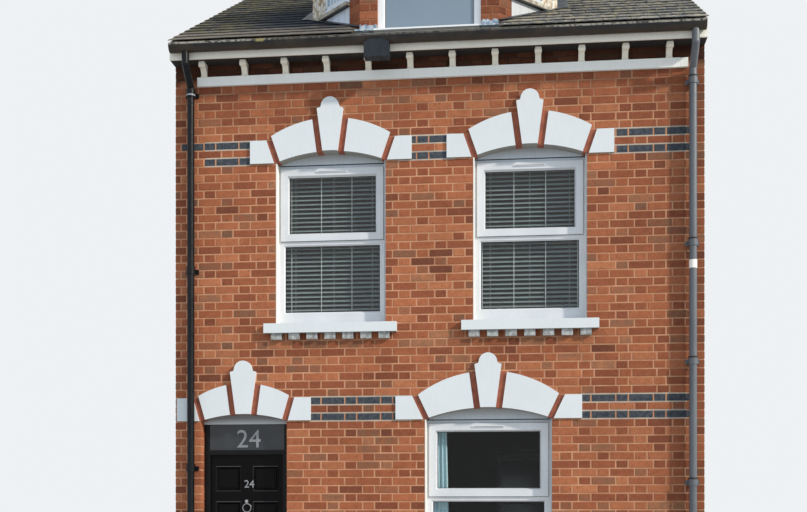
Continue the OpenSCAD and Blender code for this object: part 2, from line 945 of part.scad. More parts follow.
// Ring knocker, letter plate and knob on the leaf's front
module door_furniture() {
    mid = (leaf_left + leaf_right) / 2;
    // the ring hangs under its boss, its middle a little below the tall panels' top
    knocker_z = tall_panels[1] - knocker_r - knocker_drop;
    lock_z = (tall_panels[0] + low_panels[1]) / 2;
    inside = knocker_r - knocker_w;
    edge = knocker_w * 2 / 7;
    color("#b9bcbe") {
        translate([mid, leaf_y, knocker_z + knocker_r + boss_r]) rotate([90, 0, 0])
            cylinder(r = boss_r, h = boss_h);
        translate([mid, leaf_y, knocker_z]) rotate([90, 0, 0]) rotate_extrude()
            polygon([[inside, 0], [knocker_r, 0], [knocker_r, knocker_w / 2], [knocker_r - edge, knocker_d],
                [inside + edge, knocker_d], [inside, knocker_w / 2]]);
        box([mid - plate_w / 2, leaf_y - plate_t, lock_z - plate_h / 2],
            [mid + plate_w / 2, leaf_y, lock_z + plate_h / 2]);
        translate([leaf_right - stile_w / 2, leaf_y, lock_z]) rotate([90, 0, 0]) rotate_extrude()
            polygon(knob_r * KNOB);
    }
}

// depths of the knocker's boss and ring
boss_h = 20;
knocker_d = 12;
// from the top of the tall panels down to the knocker's ring
knocker_drop = 5;
// A knob's section with its rose and neck, in radii of the knob
KNOB = [
    [0, 0], [0.9, 0], [0.9, 0.2], [0.4, 0.3], [0.4, 1],
    [0.9, 1.3], [1, 1.6], [0.7, 2], [0.3, 2.1], [0, 2.1],
];

hinge_levels = [leaf_low + hinge_end, (leaf_low + leaf_high) / 2, leaf_high - hinge_end];

// A hinge is a pin in three knuckles: the outer two on the post, the middle one on the leaf
module door_hinge_pins() {
    color("#6d6f70") for (z = hinge_levels) translate([hinge_x, hinge_y, z - hinge_h / 2]) {
        cylinder(r = pin_r, h = hinge_h);
        for (low = [0, hinge_h * 2 / 3]) translate([0, 0, low]) {
            cylinder(r = knuckle_r, h = hinge_h / 3 - pin_gap);
            box([-door_gap / 2 - post_w / 2, -knuckle_r, 0],
                [0, -knuckle_r + hinge_t, hinge_h / 3 - pin_gap]);
        }
    }
}

module door_hinge_knuckles() {
    color("#6d6f70") for (z = hinge_levels) translate([hinge_x, hinge_y, z - hinge_h / 6]) difference() {
        union() {
            cylinder(r = knuckle_r, h = hinge_h / 3 - pin_gap);
            box([0, -knuckle_r, 0],
                [door_gap / 2 + stile_w / 2, -knuckle_r + hinge_t, hinge_h / 3 - pin_gap]);
        }
        translate([0, 0, -eps]) cylinder(r = pin_r + pin_gap, h = hinge_h);
    }
}

module fanlight() {
    y0 = door_y + glass_set;
    color("#5b6b74", 0.5) box([door_x - half(DOOR) + post_w, y0, bar_low + bar_h],
        [door_x + half(DOOR) - post_w, y0 + glass_t, fanlight_top]);
}

module door_step() {
    color("#a9a49a") box([door_x - half(DOOR), front_y - step_out, 0],
        [door_x + half(DOOR), front_y + wall_t, ground_floor_h]);
}

// Eaves
board_low = upper_spring + eaves_rise;
board_end = house_w / 2 - pipe_inset - board_gap;
brackets = 1 + floor((2 * board_end - bracket_end - bracket_w / 2) / bracket_pitch);

module eaves_boards() {
    color(board) front_and_rear() {
        box([-board_end, front_y - board_t, board_low], [board_end, front_y, board_low + board_h]);
        box([-house_w / 2, fascia_y + fascia_t, soffit_z], [house_w / 2, front_y, soffit_z + soffit_t]);
    }
}

// A bracket has a hollow front, round about a point outside it
module eaves_brackets() {
    foot_z = soffit_z - bracket_h;
    color(board) for (i = [0:brackets - 1]) {
        x0 = bracket_end - board_end + i * bracket_pitch - bracket_w / 2;
        along_x(x0, x0 + bracket_w) difference() {
            translate([front_y - bracket_reach, foot_z]) square([bracket_reach, bracket_h]);
            translate([front_y - bracket_reach - 2 * eps, foot_z - 4 * eps])
                circle(bracket_reach - bracket_foot + 2 * eps);
        }
    }
}

module eaves_fascias() {
    color(board) front_and_rear()
        box([-house_w / 2, fascia_y, soffit_z], [house_w / 2, fascia_y + fascia_t, fascia_top]);
}

// a gutter's end short of the party wall's outer face
gutter_end = 20;
gutter_z = soffit_z + gutter_lift;
gutter_r = gutter_w / 2;
gutter_y = fascia_y - gutter_r;

// A gutter is round below and upright above; extra is added to its top
module gutter_2d(r, extra) {
    translate([gutter_y, gutter_z + gutter_r]) {
        intersection() {
            circle(r);
            translate([-2 * r, -2 * r]) square([4 * r, 2 * r + eps]);
        }
        translate([-r, 0]) square([2 * r, gutter_h - gutter_r + extra]);
    }
}

module gutters() {
    end = house_w / 2 - gutter_end;
    color(black) front_and_rear() difference() {
        along_x(-end, end) gutter_2d(gutter_r, 0);
        along_x(-end + gutter_t, end - gutter_t) gutter_2d(gutter_r - gutter_t, eps);
    }
}

// The box hangs on the fascia, with sloping shoulders, shaped to the gutter's underside
module gutter_box() {
    w = box_w / 2;
    top = gutter_r / 2;
    shoulder = w - top / tan(30);
    color("#2c3138") difference() {
        in_wall(box_x, fascia_y - gutter_w, gutter_z, gutter_w)
            polygon([[-w, -box_h], [w, -box_h], [w, 0], [shoulder, top], [-shoulder, top], [-w, 0]]);
        along_x(box_x - box_w, box_x + box_w) translate([gutter_y, gutter_z + gutter_r]) circle(gutter_r);
    }
}

// A rainwater pipe with its swan neck, collars and ears; the levels are from the ground
pipe_x = house_w / 2 - pipe_inset;
pipe_z = upper_spring + pipe_top;
// rise of a swan neck over its reach
neck_slope = 0.95;
// thicknesses of a collar and of its ears
collar_t = 7;
ear_t = 10;

module downpipe(x, levels, tint) {
    y = front_y - pipe_out;
    neck_z = pipe_z + neck_slope * (y - gutter_y);
    color(tint) {
        translate([x, y, 0]) cylinder(r = pipe_r, h = pipe_z);
        translate([x, y, pipe_z]) sphere(pipe_r);
        bar_between([x, y, pipe_z], [x, gutter_y, neck_z], pipe_r);
        translate([x, gutter_y, neck_z]) sphere(pipe_r);
        difference() {
            translate([x, gutter_y, neck_z]) cylinder(r = pipe_r, h = gutter_z + gutter_r / 2 - neck_z);
            along_x(x - gutter_w, x + gutter_w) translate([gutter_y, gutter_z + gutter_r]) circle(gutter_r);
        }
        for (z = levels) {
            translate([x, y, z - collar_h / 2]) cylinder(r = pipe_r + collar_t, h = collar_h);
            box([x - ear_w, front_y - ear_t, z - collar_h / 3], [x + ear_w, front_y, z + collar_h / 3]);
            box([x - ear_w / 3, y, z - collar_h / 3],
                [x + ear_w / 3, front_y - ear_t / 2, z + collar_h / 3]);
        }
    }
}

// a round bar in the YZ plane from p to q
module bar_between(p, q, r) {
    d = q - p;
    translate(p) rotate([-atan2(d[1], d[2]), 0, 0]) cylinder(r = r, h = norm(d));
}

// Roof

module slope(y0, low0, high0) {
    front_and_rear() along_x(-house_w / 2, house_w / 2)
        polygon([[y0, low0], [y0, high0], [0, high0 - y0 * tan(pitch)], [0, low0 - y0 * tan(pitch)]]);
}

module roof_deck() {
    y0 = fascia_y + fascia_t;
    color("#8d7350") difference() {
        slope(y0, deck_under(y0), deck_top(y0));
        deck_hole();
        stack_place(0, ridge_z + stack_h);
    }
}

module roof_slates() {
    y0 = fascia_y - slate_over;
    color(slate) difference() {
        slope(y0, deck_top(y0), slate_top(y0));
        slate_hole();
        stack_place(0, ridge_z + stack_h);
    }
}

// angled ridge tiles over both slopes, in lengths that butt
module ridge_tiles() {
    z0 = slate_top(0);
    down = ridge_leg * sin(pitch);
    out = ridge_leg * cos(pitch);
    up = ridge_t / cos(pitch);
    color("#7d4a3a") along_x(-house_w / 2, house_w / 2 - wall_t) polygon([
        [-out, z0 - down], [0, z0], [out, z0 - down],
        [out, z0 - down + up], [0, z0 + up], [-out, z0 - down + up],
    ]);
}

// step of an oversailing course, and pots from the party wall's outer face
oversail = 25;
pot_gap = 8;
// thickness of a pot at its foot
pot_t = 20;

module stack_place(z0, z1) {
    box([inner_x, -stack_d / 2, z0], [house_w / 2 + eps, stack_d / 2, z1]);
}

// The stack stands on the party wall's top and rises through the roof
module chimney_stack() {
    top = ridge_z + stack_h;
    edge = stack_d / 2;
    color(brick) {
        along_x(inner_x, house_w / 2) polygon([
            [-edge, deck_under(-edge)], [0, deck_under(0)], [edge, deck_under(-edge)],
            [edge, top], [-edge, top],
        ]);
        // three oversailing courses, the middle one furthest out
        for (i = [1:3]) {
            out = (2 - abs(i - 2)) * oversail;
            box([inner_x - out, -edge - out, top - i * course],
                [house_w / 2, edge + out, top - (i - 1) * course]);
        }
    }
}

module chimney_pots() {
    x = house_w / 2 - pot_r - pot_gap;
    rim = pot_h / 7;
    color("#b5653c") for (side = [-1, 1]) translate([x, side * stack_d / 4, ridge_z + stack_h])
        rotate_extrude() polygon([
            [pot_r - pot_t, 0], [pot_r + pot_t / 4, 0], [pot_r, rim], [pot_r - pot_t / 2, pot_h - rim],
            [pot_r, pot_h - rim * 2 / 3], [pot_r, pot_h], [pot_r - 1.5 * pot_t, pot_h],
            [pot_r - 1.8 * pot_t, pot_h - rim],
        ]);
}

// Bay dormer: u is across from its middle, v is back from its front
bay_y = front_y + bay_set;
bay_half = bay_front_w / 2;
bay_window_z = fascia_top + bay_window_rise;
bay_head_z = bay_window_z + bay_window_h;
bay_sill_z = fascia_top + side_sill_rise;
miter = tan(22.5);
diagonal = sqrt(2);
side_len = (bay_cant - bay_return) * diagonal;
// how far back the slates rise to a height z
function slate_run(z) = (z - slate_top(bay_y)) / tan(pitch);
bay_end = slate_run(bay_head_z);

// The bay's plan, moved outwards by o and run back to v
function bay_plan(o, v) =
    let (f = bay_half + o * miter, s = bay_half + bay_cant + o, c = bay_cant - o * miter)
    [[-f, -o], [f, -o], [s, c], [s, v], [-s, v], [-s, c]];

module bay_place() {
    translate([bay_x, bay_y, 0]) children();
}

// everything below a roof plane that passes at height z over the bay's front
module below_plane(z) {
    far = 3 * house_d;
    translate([0, 0, z]) rotate([pitch, 0, 0]) translate([-far / 2, -far / 2, -far]) cube([far, far, far]);
}

module bay_prism(o, v, z0, z1) {
    translate([0, 0, z0]) linear_extrude(z1 - z0) polygon(bay_plan(o, v));
}

// one canted side's own place: along it, inwards and up
module cant_place() {
    both_sides() translate([bay_half + bay_return, bay_return, 0]) rotate([0, 0, 45]) children();
}

module apron_strip(z0, z1, y0) {
    box([-bay_half, y0 - bay_y, z0], [bay_half, eps, z1]);
}

module deck_hole() {
    t = bay_side_t;
    back = bay_end - 2 * t;
    bay_place() {
        apron_strip(0, bay_head_z, fascia_y - slate_over);
        translate([0, 0, eps]) linear_extrude(bay_head_z) {
            polygon([for (p = bay_plan(-t, back)) [p[0], max(p[1], 0)]]);
            both_sides() pier_2d();
            square([bay_window_w + 2 * eps, 2 * bay_pier_t], center = true);
        }
    }
}

module slate_hole() {
    bay_place() {
        apron_strip(0, bay_head_z, fascia_y - slate_over - eps);
        bay_prism(0, bay_end, 0, bay_head_z + eps);
    }
}

module pier_2d() {
    t = bay_pier_t;
    r = bay_half + bay_return;
    polygon([
        [bay_window_w / 2, 0], [bay_half, 0], [r, bay_return],
        [r - t / diagonal, bay_return + t / diagonal],
        [bay_half - t * miter, t], [bay_window_w / 2, t],
    ]);
}

// Brick piers at the two front corners, on the front wall's top
module bay_piers() {
    color(brick) bay_place() difference() {
        linear_extrude(bay_head_z) both_sides() pier_2d();
        below_plane(deck_under(bay_y));
    }
}

// Lead-covered apron in front of the bay, and the bed under its front window
module bay_apron() {
    lip_y = fascia_y - slate_over;
    deck_y = fascia_y + fascia_t;
    bed_y = bay_y + bay_pier_t;
    color("#aeb6bb") {
        along_x(bay_x - bay_half, bay_x + bay_half) polygon([
            [lip_y, fascia_top], [deck_y, fascia_top],
            [deck_y, deck_under(deck_y)], [bay_y, deck_under(bay_y)],
            [bay_y, bay_window_z], [lip_y, fascia_top + apron_lip],
        ]);
        along_x(bay_x - bay_window_w / 2, bay_x + bay_window_w / 2) polygon([
            [bay_y - eps, deck_under(bay_y)], [bed_y, deck_under(bed_y)], [bed_y, bay_window_z],
            [bay_y - eps, bay_window_z],
        ]);
    }
}

bay_frame_y = bay_y + bay_frame_set;
bay_transom_z = bay_head_z - bay_transom_drop;
// the front window's lights, as [low z, high z]
bay_lights = [
    [bay_window_z + bay_foot_h, bay_transom_z],
    [bay_transom_z + transom_h, bay_head_z - bay_frame_w],
];

// Front window of the bay: a frame with two lights
module bay_window() {
    w = bay_window_w / 2;
    color("#eef1f3") translate([bay_x, 0, 0]) difference() {
        box([-w, bay_frame_y, bay_window_z], [w, bay_frame_y + frame_d, bay_head_z]);
        for (light = bay_lights) box([-w + bay_frame_w, bay_frame_y - eps, light[0]],
            [w - bay_frame_w, bay_frame_y + frame_d + eps, light[1]]);
    }
}

side_sill_z = bay_sill_z + side_sill_h;
side_light = [side_sill_z + side_rail_h, bay_head_z - side_head_h];

// Canted sides and cheeks: apron, sill, posts and head of each side, in one joined skin
module bay_sides() {
    color("#d9d8d0") bay_place() {
        difference() {
            bay_prism(0, bay_end, 0, bay_head_z);
            bay_prism(-bay_side_t, bay_end + eps, -eps, bay_head_z + eps);
            // the front, with its piers, is left out of the skin
            linear_extrude(bay_head_z + eps) polygon([
                [-bay_half - bay_return, -eps], [bay_half + bay_return, -eps],
                [bay_half + bay_return, bay_return],
                [bay_half + bay_return - bay_side_t * diagonal, bay_return + bay_side_t * diagonal],
                [-bay_half - bay_return + bay_side_t * diagonal, bay_return + bay_side_t * diagonal],
                [-bay_half - bay_return, bay_return],
            ]);
            below_plane(deck_top(bay_y));
            cant_place() box([side_post_w, -eps, side_light[0]],
                [side_len - side_board_w, bay_side_t + eps, side_light[1]]);
        }
        difference() {
            cant_place() box([0, -side_sill_out, bay_sill_z], [side_len, eps, side_sill_z]);
            below_plane(slate_top(bay_y) + seat);
        }
    }
}

module bay_glass() {
    w = bay_window_w / 2 - bay_frame_w;
    y0 = bay_frame_y + glass_set;
    color("#5b6b74", 0.5) {
        for (light = bay_lights) box([bay_x - w, y0, light[0]], [bay_x + w, y0 + glass_t, light[1]]);
        bay_place() cant_place() box([side_post_w, glass_set, side_light[0]],
            [side_len - side_board_w, glass_set + glass_t, side_light[1]]);
    }
}

// Fascia and hipped roof over the bay, lapping onto the main roof's slates
module bay_roof() {
    top = bay_head_z + bay_fascia_h;
    hips = top + bay_eaves_t;
    ridge = slate_top(0) - bay_ridge_drop;
    wide = bay_half + bay_cant + bay_roof_out;
    back = -bay_y;
    color("#66625c") bay_place() difference() {
        union() {
            bay_prism(bay_fascia_out, slate_run(top) + eps, bay_head_z, top);
            hull() {
                bay_prism(bay_roof_out, back, top, hips);
                translate([-eps, wide, hips]) cube([2 * eps, back - wide, ridge - hips]);
            }
        }
        below_plane(slate_top(bay_y) + seat);
    }
}

ground_floor();
first_floor();
attic_floor();
party_wall(-house_w / 2);  // party_wall_left
party_wall(inner_x);  // party_wall_right
front_wall_left();
front_wall_ground();
front_wall_middle();
front_wall_top();
rear_wall_ground();
rear_wall_middle();
rear_wall_top();
door_frame();
door_leaf();
door_furniture();
door_hinge_pins();
door_hinge_knuckles();
fanlight();
door_step();
head_stones(left_window_x, upper_spring, UPPER);  // stones_first_left
head_stones(right_window_x, upper_spring, UPPER);  // stones_first_right
head_stones(ground_window_x, ground_spring, GROUND);  // stones_ground_window
head_stones(door_x, ground_spring, DOOR);  // stones_door
head_strips();
window_sill(left_window_x, upper_sill, UPPER);  // sill_first_left
window_sill(right_window_x, upper_sill, UPPER);  // sill_first_right
window_sill(ground_window_x, ground_sill, GROUND);  // sill_ground
sill_dentils();
color("#eef1f3") window_frame(left_window_x, upper_spring, upper_sill, UPPER);  // window_first_left
color("#eef1f3") window_frame(right_window_x, upper_spring, upper_sill, UPPER);  // window_first_right
color("#eef1f3") window_frame(ground_window_x, ground_spring, ground_sill, GROUND);  // window_ground
window_sashes();
window_glass();
head_infills();
jamb_linings();
blinds();
curtain_rail();
curtain();
rear_windows();
rear_sashes();
rear_glass();
rear_sills();
eaves_boards();
eaves_brackets();
eaves_fascias();
gutters();
gutter_box();
downpipe(left_pipe_in - pipe_x, left_collars, black);  // downpipe_left
front_and_rear() downpipe(pipe_x, right_collars, "#4c5157");  // downpipe_right
roof_deck();
roof_slates();
ridge_tiles();
chimney_stack();
chimney_pots();
bay_piers();
bay_apron();
bay_window();
bay_sides();
bay_glass();
bay_roof();
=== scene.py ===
"""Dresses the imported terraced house: bricks, stones, slates, joinery, glass and light, all in metres."""
import math
import random
from itertools import product

import bpy
from mathutils import Matrix, Vector


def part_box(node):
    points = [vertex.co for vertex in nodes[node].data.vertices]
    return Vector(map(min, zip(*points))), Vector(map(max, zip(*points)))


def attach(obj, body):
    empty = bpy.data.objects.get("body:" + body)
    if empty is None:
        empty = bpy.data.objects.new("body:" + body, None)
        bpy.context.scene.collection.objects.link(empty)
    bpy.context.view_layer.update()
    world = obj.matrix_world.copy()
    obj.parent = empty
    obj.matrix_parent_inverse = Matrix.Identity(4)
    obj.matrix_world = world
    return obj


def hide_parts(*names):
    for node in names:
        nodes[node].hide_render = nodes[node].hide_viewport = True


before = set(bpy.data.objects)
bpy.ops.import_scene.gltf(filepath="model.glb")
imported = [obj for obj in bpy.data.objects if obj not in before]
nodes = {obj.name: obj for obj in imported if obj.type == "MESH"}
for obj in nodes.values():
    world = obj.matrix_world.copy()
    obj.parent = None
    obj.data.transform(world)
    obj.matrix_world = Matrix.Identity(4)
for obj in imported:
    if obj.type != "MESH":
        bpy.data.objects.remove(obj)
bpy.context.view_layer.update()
rng = random.Random(15)

# The part's own measures, in metres
HALF_W = 2.46
FRONT = -3.8
REAR = 3.8
COURSE = 0.0756
JOINT = 0.0135
# A stretcher, a header and their two joints
PERIOD = 0.3375
STRETCHER = 0.2115
HEADER = 0.099
GROUND_SPRING = 32 * COURSE
UPPER_SPRING = 64 * COURSE
UPPER_SILL = 44 * COURSE
GROUND_SILL = 11 * COURSE
UPPER_X = (-0.968, 0.888)
UPPER_HALF = 0.52
UPPER_RISE = 0.098
SILL_HALF = 0.627
GROUND_X = 0.505
GROUND_HALF = 0.585
DOOR_X = -1.798
DOOR_HALF = 0.412
REAR_X = (-0.93, 0.93)
# Radius of the rear arches' inner curve
REAR_ARCH = ((UPPER_HALF + 0.003) ** 2 + UPPER_RISE ** 2) / (2 * UPPER_RISE)
SOFFIT = 5.7854
BOARD_LOW = 5.5844
BOARD_END = 2.24
FASCIA_TOP = 5.9544
PITCH = math.radians(30)
COS_PITCH = math.cos(PITCH)
SIN_PITCH = math.sin(PITCH)
SLATE_EDGE = 4.035
BAY_X = -0.05
BAY_Y = -3.72
BAY_HALF = 0.655
BAY_CANT = 0.55
BAY_HEAD = 7.1994
BAY_END = 1.8405
SLANT = math.sqrt(0.5)
PIPE_X = 2.348
LEFT_PIPE_X = -2.292
PIPE_Y = -3.864
PIPE_R = 0.034
STACK_X = 2.235
STACK_HALF = 0.46
# Distances from the ridge line of the deck's edge and of the rooms' inner faces
DECK_EDGE = 3.98
ROOM_Y = 3.575
# The eaves height of the bay's own roof, its ridge, and the deck's height at the bay's front
BAY_HIPS = 7.3794
BAY_RIDGE = 8.1446
BAY_FOOT = 6.1368
# Depth of the pointing behind the brick faces, and a clearance against faces that coincide
POINTING = 0.0035
HAIR = 0.0015
# How far a brick or slate may fall short of its joint, and the shortest brick
SLIP = 0.0015
SHORTEST = 0.045
# A small block's tone where nothing varies it, and a range that runs down from 1 to 0
PLAIN = (0.5, 0.5, 0.0)
FADE = (1.0, 0.0)


def deck_top(y):
    """Height of the roof deck's top at a distance y from the ridge."""
    return FASCIA_TOP + (DECK_EDGE - abs(y)) * math.tan(PITCH)


# Camera: level, with the photograph's vertical shift
camera = bpy.data.objects.new("camera", bpy.data.cameras.new("camera"))
bpy.context.scene.collection.objects.link(camera)
camera.location = (0.852, -14.297, 1.578)
camera.rotation_euler = (math.radians(90), 0, math.radians(6.154))
camera.data.lens = 50.63
camera.data.sensor_width = 36
camera.data.shift_y = 0.3147
camera.data.clip_end = 200
bpy.context.scene.camera = camera


# Materials
MAT = {}


def srgb(r, g, b):
    """A colour given as 0 to 255 on a screen, in Blender's linear numbers."""
    parts = [c / 255 for c in (r, g, b)]
    return (*(c / 12.92 if c <= 0.04045 else ((c + 0.055) / 1.055) ** 2.4 for c in parts), 1.0)


class Finish:
    """A material with short calls for the nodes of its pattern; colours are given as 0 to 255."""

    def __init__(self, name, rough=0.6, metal=0.0, specular=0.5):
        self.mat = MAT[name] = bpy.data.materials.new(name)
        self.mat.use_nodes = True
        self.nodes = self.mat.node_tree.nodes
        self.shader = self.nodes["Principled BSDF"]
        self.shader.inputs["Roughness"].default_value = rough
        self.shader.inputs["Metallic"].default_value = metal
        self.shader.inputs["Specular IOR Level"].default_value = specular
        self.place = self.node("TexCoord").outputs["Object"]

    def put(self, value, socket):
        """Gives a socket a link, a colour or a number."""
        if isinstance(value, bpy.types.NodeSocket):
            self.mat.node_tree.links.new(value, socket)
        else:
            socket.default_value = srgb(*value) if isinstance(value, tuple) else value

    def node(self, kind, **values):
        """A new node, with a link or a value for each input named; an underscore is a space."""
        node = self.nodes.new("ShaderNode" + kind)
        for name, value in values.items():
            self.put(value, node.inputs[name.replace("_", " ")])
        return node

    def noise(self, scale, low=0.35, high=0.65, detail=4.0, stretch=None, to=(0.0, 1.0)):
        """Noise stretched to run from to[0] to to[1]."""
        place = self.place
        if stretch:
            place = self.node("Mapping", Vector=place, Scale=Vector(stretch)).outputs[0]
        pattern = self.node("TexNoise", Vector=place, Scale=scale, Detail=detail).outputs["Fac"]
        return self.span(pattern, low, high, to)

    def span(self, value, low, high, to=(0.0, 1.0)):
        """value mapped from low..high to to[0]..to[1], held at the ends."""
        node = self.node("MapRange", Value=value, From_Min=low, From_Max=high, To_Min=to[0], To_Max=to[1])
        return node.outputs["Result"]

    def axis(self, letter):
        return self.node("SeparateXYZ", Vector=self.place).outputs[letter]

    def math(self, how, first, *others):
        """first with each of the others worked into it in turn."""
        for value in others or (0.0,):
            node = self.node("Math")
            node.operation = how
            self.put(first, node.inputs[0])
            self.put(value, node.inputs[1])
            first = node.outputs[0]
        return first

    def plus(self, *values):
        return self.math("ADD", *values)

    def times(self, *values):
        return self.math("MULTIPLY", *values)

    def size(self, value):
        return self.math("ABSOLUTE", value)

    def rest(self, value):
        """What is left of 1."""
        return self.math("SUBTRACT", 1.0, value)

    def mix(self, factor, a, b, how="MIX"):
        node = self.node("Mix")
        node.data_type = "RGBA"
        node.blend_type = how
        for value, place in ((factor, 0), (a, 6), (b, 7)):
            self.put(value, node.inputs[place])
        return node.outputs[2]

    def fleck(self, colour, other, scale, low=0.35, high=0.65, most=1.0, **more):
        """colour with patches of another, which cover up to a share of most."""
        return self.mix(self.noise(scale, low, high, to=(0, most), **more), colour, other)

    def shade(self, colour, factor):
        """colour made lighter or darker by a number near 1."""
        grey = self.node("CombineXYZ", X=factor, Y=factor, Z=factor).outputs[0]
        return self.mix(1.0, colour, grey, "MULTIPLY")

    def tone(self):
        """The red, green and blue numbers that each small block carries."""
        node = self.node("Attribute")
        node.attribute_name = "tone"
        return self.node("SeparateColor", Color=node.outputs["Color"]).outputs[:3]

    def ramp(self, value, stops):
        node = self.node("ValToRGB", Fac=value)
        elements = node.color_ramp.elements
        while len(elements) < len(stops):
            elements.new(0.5)
        for element, (place, colour) in zip(elements, stops):
            element.position = place
            element.color = srgb(*colour)
        return node.outputs["Color"]

    def grain(self, depth, scale, low=0.2, high=0.8, **more):
        """Relief of a depth, from noise."""
        node = self.node("Bump", Height=self.noise(scale, low, high, **more), Distance=depth)
        self.put(node.outputs[0], self.shader.inputs["Normal"])

    def done(self, colour, rough=None):
        self.put(colour, self.shader.inputs["Base Color"])
        if rough is not None:
            self.put(rough, self.shader.inputs["Roughness"])


def soot_and_shade(f, colour, deep, veil):
    """Darker bands on the front: soot and painted shade under the eaves, painted shade under the sills and on
    the bay's piers, and darker towards the right pipe; deep is for the eaves' recess, veil for below.
    """
    x, z = f.axis("X"), f.axis("Z")
    uneven = f.plus(z, f.noise(3.5, 0.3, 0.7, detail=3, to=(-0.12, 0.12)))
    # veil is soot and painted shade below the eaves board; deep is painted shade in the recess between the
    # brackets
    eaves = f.plus(f.span(uneven, 5.1, 5.5, (0.0, veil)), f.span(z, 5.6, 5.66, (0.0, deep)))
    eaves = f.times(eaves, f.span(z, 5.95, 5.96, FADE))
    # Painted shade under the sills of the upper windows
    near = f.size(f.plus(f.size(f.plus(x, 0.04)), -0.928))
    sills = f.times(f.span(near, 0.55, 0.8, FADE), f.span(uneven, 2.9, 3.2, (0.0, 0.26)),
                    f.span(z, 3.26, 3.27, FADE))
    # Painted shade on the bay's brick piers, more on the right one
    bay = f.times(f.span(z, 5.97, 5.98), f.span(f.size(x), 1.0, 1.01, FADE),
                  f.span(x, -0.06, -0.04, (0.14, 0.3)))
    # Darker towards the right-hand pipe
    side = f.times(f.span(x, 1.9, 2.3, (1.0, 0.82)), f.span(x, 0.9, 1.7, (1.0, 0.95)))
    patches = f.noise(1.1, detail=2, to=(0.93, 1.04))
    return f.shade(colour, f.times(f.rest(f.plus(eaves, sills, bay)), side, patches))


def brick_finish(name, stops, front):
    """Bricks whose tone varies one by one, mottled, with soot, painted shade and a darkening towards the
    right pipe over the front wall.
    """
    f = Finish(name, rough=0.88, specular=0.25)
    tone, light, blue = f.tone()
    colour = f.shade(f.ramp(tone, stops), f.span(light, 0, 1, (0.94, 1.06)))
    colour = f.shade(colour, f.noise(18, 0.3, 0.7, to=(0.88, 1.1)))
    grime = f.times(f.span(light, 0.84, 0.88), f.noise(16, 0.3, 0.6, to=(0.15, 0.6)))
    colour = f.mix(grime, colour, (118, 96, 76))
    colour = f.fleck(colour, (112, 60, 42), 45, 0.56, 0.7, 0.55)
    colour = f.fleck(colour, (200, 146, 106), 70, 0.6, 0.74, 0.5)
    colour = f.mix(blue, colour, f.fleck((50, 58, 68), (82, 86, 92), 30))
    if front:
        # Soot and painted shade under the eaves and sills and on the bay's piers
        colour = soot_and_shade(f, colour, 0.66, 0.12)
    f.grain(0.0012, 220, detail=6)
    f.done(colour, f.noise(30, 0.3, 0.7, to=(0.8, 0.95)))


def mortar_finish(name, base, other, front=True):
    """Lime pointing in two close colours, with soot and painted shade like the bricks on the front."""
    f = Finish(name, rough=0.95, specular=0.2)
    colour = f.fleck(base, other, 5, detail=6)
    if front:
        # Soot and painted shade, as on the bricks
        colour = soot_and_shade(f, colour, 0.6, 0.3)
    f.grain(0.0018, 260)
    f.done(colour)


def plain_finish(name, base, other, scale, rough=0.6, grain=200, depth=0.0006, **more):
    """A surface of two close colours in soft patches, with a fine grain."""
    f = Finish(name, rough=rough, **more)
    f.grain(depth, grain)
    worn = (max(rough - 0.08, 0.05), min(rough + 0.08, 1))
    f.done(f.fleck(base, other, scale), f.noise(scale * 4, 0.3, 0.7, to=worn))


def painted_finish(name, base, dirt, rough=0.5, streaks=0.35, **more):
    """Paint with rain streaks, small chips and dirt in soft patches."""
    f = Finish(name, rough=rough, **more)
    colour = f.fleck(base, dirt, 3, 0.45, 0.75, streaks)
    colour = f.fleck(colour, dirt, 9, 0.5, 0.8, streaks, stretch=(6, 6, 0.6))
    colour = f.fleck(colour, dirt, 70, 0.66, 0.74, 0.6 * streaks)
    f.grain(0.0006, 140)
    f.done(colour, f.noise(25, 0.3, 0.7, to=(max(rough - 0.1, 0.05), min(rough + 0.12, 1))))


def gutter_finish():
    """Black gutter iron, rusty in places, with pale lichen along its rim and a tuft of moss."""
    f = Finish("gutter_iron", rough=0.5, specular=0.25)
    x, z = f.axis("X"), f.axis("Z")
    colour = f.fleck((24, 26, 30), (76, 64, 50), 5, 0.45, 0.75, 0.5)
    colour = f.mix(f.span(z, 5.872, 5.835, (0, 0.5)), colour, (84, 72, 58))
    ends = f.plus(f.span(x, -1.6, -1.4, (1.0, 0.3)), f.span(x, 1.0, 1.2, (0.0, 0.6)))
    rim = f.times(f.span(z, 5.883, 5.889), f.noise(34, 0.4, 0.54, to=(0.1, 1.0)), ends)
    colour = f.mix(rim, colour, (156, 152, 142))
    tuft = f.times(f.span(x, -1.63, -1.6), f.span(x, -1.55, -1.53, FADE), f.span(z, 5.87, 5.885))
    f.grain(0.0006, 140)
    f.done(f.mix(tuft, colour, (146, 136, 88)))


def front_weather_and_light(f, colour):
    """The front slope: brown foot, dark blue patch and lichen at the left, and painted light that is darker
    at the left and brighter at the right.
    """
    x, z = f.axis("X"), f.axis("Z")
    front = f.span(f.axis("Y"), -0.05, 0.05, FADE)
    left = f.times(f.span(x, -0.9, 0.6, FADE), front)
    uneven = f.plus(z, f.noise(4, 0.3, 0.7, to=(-0.06, 0.06)))
    foot = f.span(uneven, 6.1, 6.24, FADE)
    blue = f.times(f.span(x, -2.0, -1.6), f.rest(foot), f.span(uneven, 6.8, 6.95, (1.0, 0.1)), left,
                   f.noise(7, 0.3, 0.5, to=(0.7, 0.95)))
    green = f.times(f.span(x, -1.9, -1.4, (1.0, 0.2)), f.noise(8, 0.45, 0.6, to=(0, 0.6)), front)
    colour = f.mix(green, colour, (126, 120, 88))
    colour = f.mix(blue, colour, (54, 61, 72))
    colour = f.mix(f.times(foot, left, 0.55), colour, (112, 105, 100))
    # Painted light: darker at the left, brighter at the right and along the foot
    lit = f.plus(f.span(x, -0.9, 0.9, (0.76, 1.74)), f.times(foot, 0.42))
    return f.shade(colour, f.plus(f.times(lit, front), f.rest(front)))


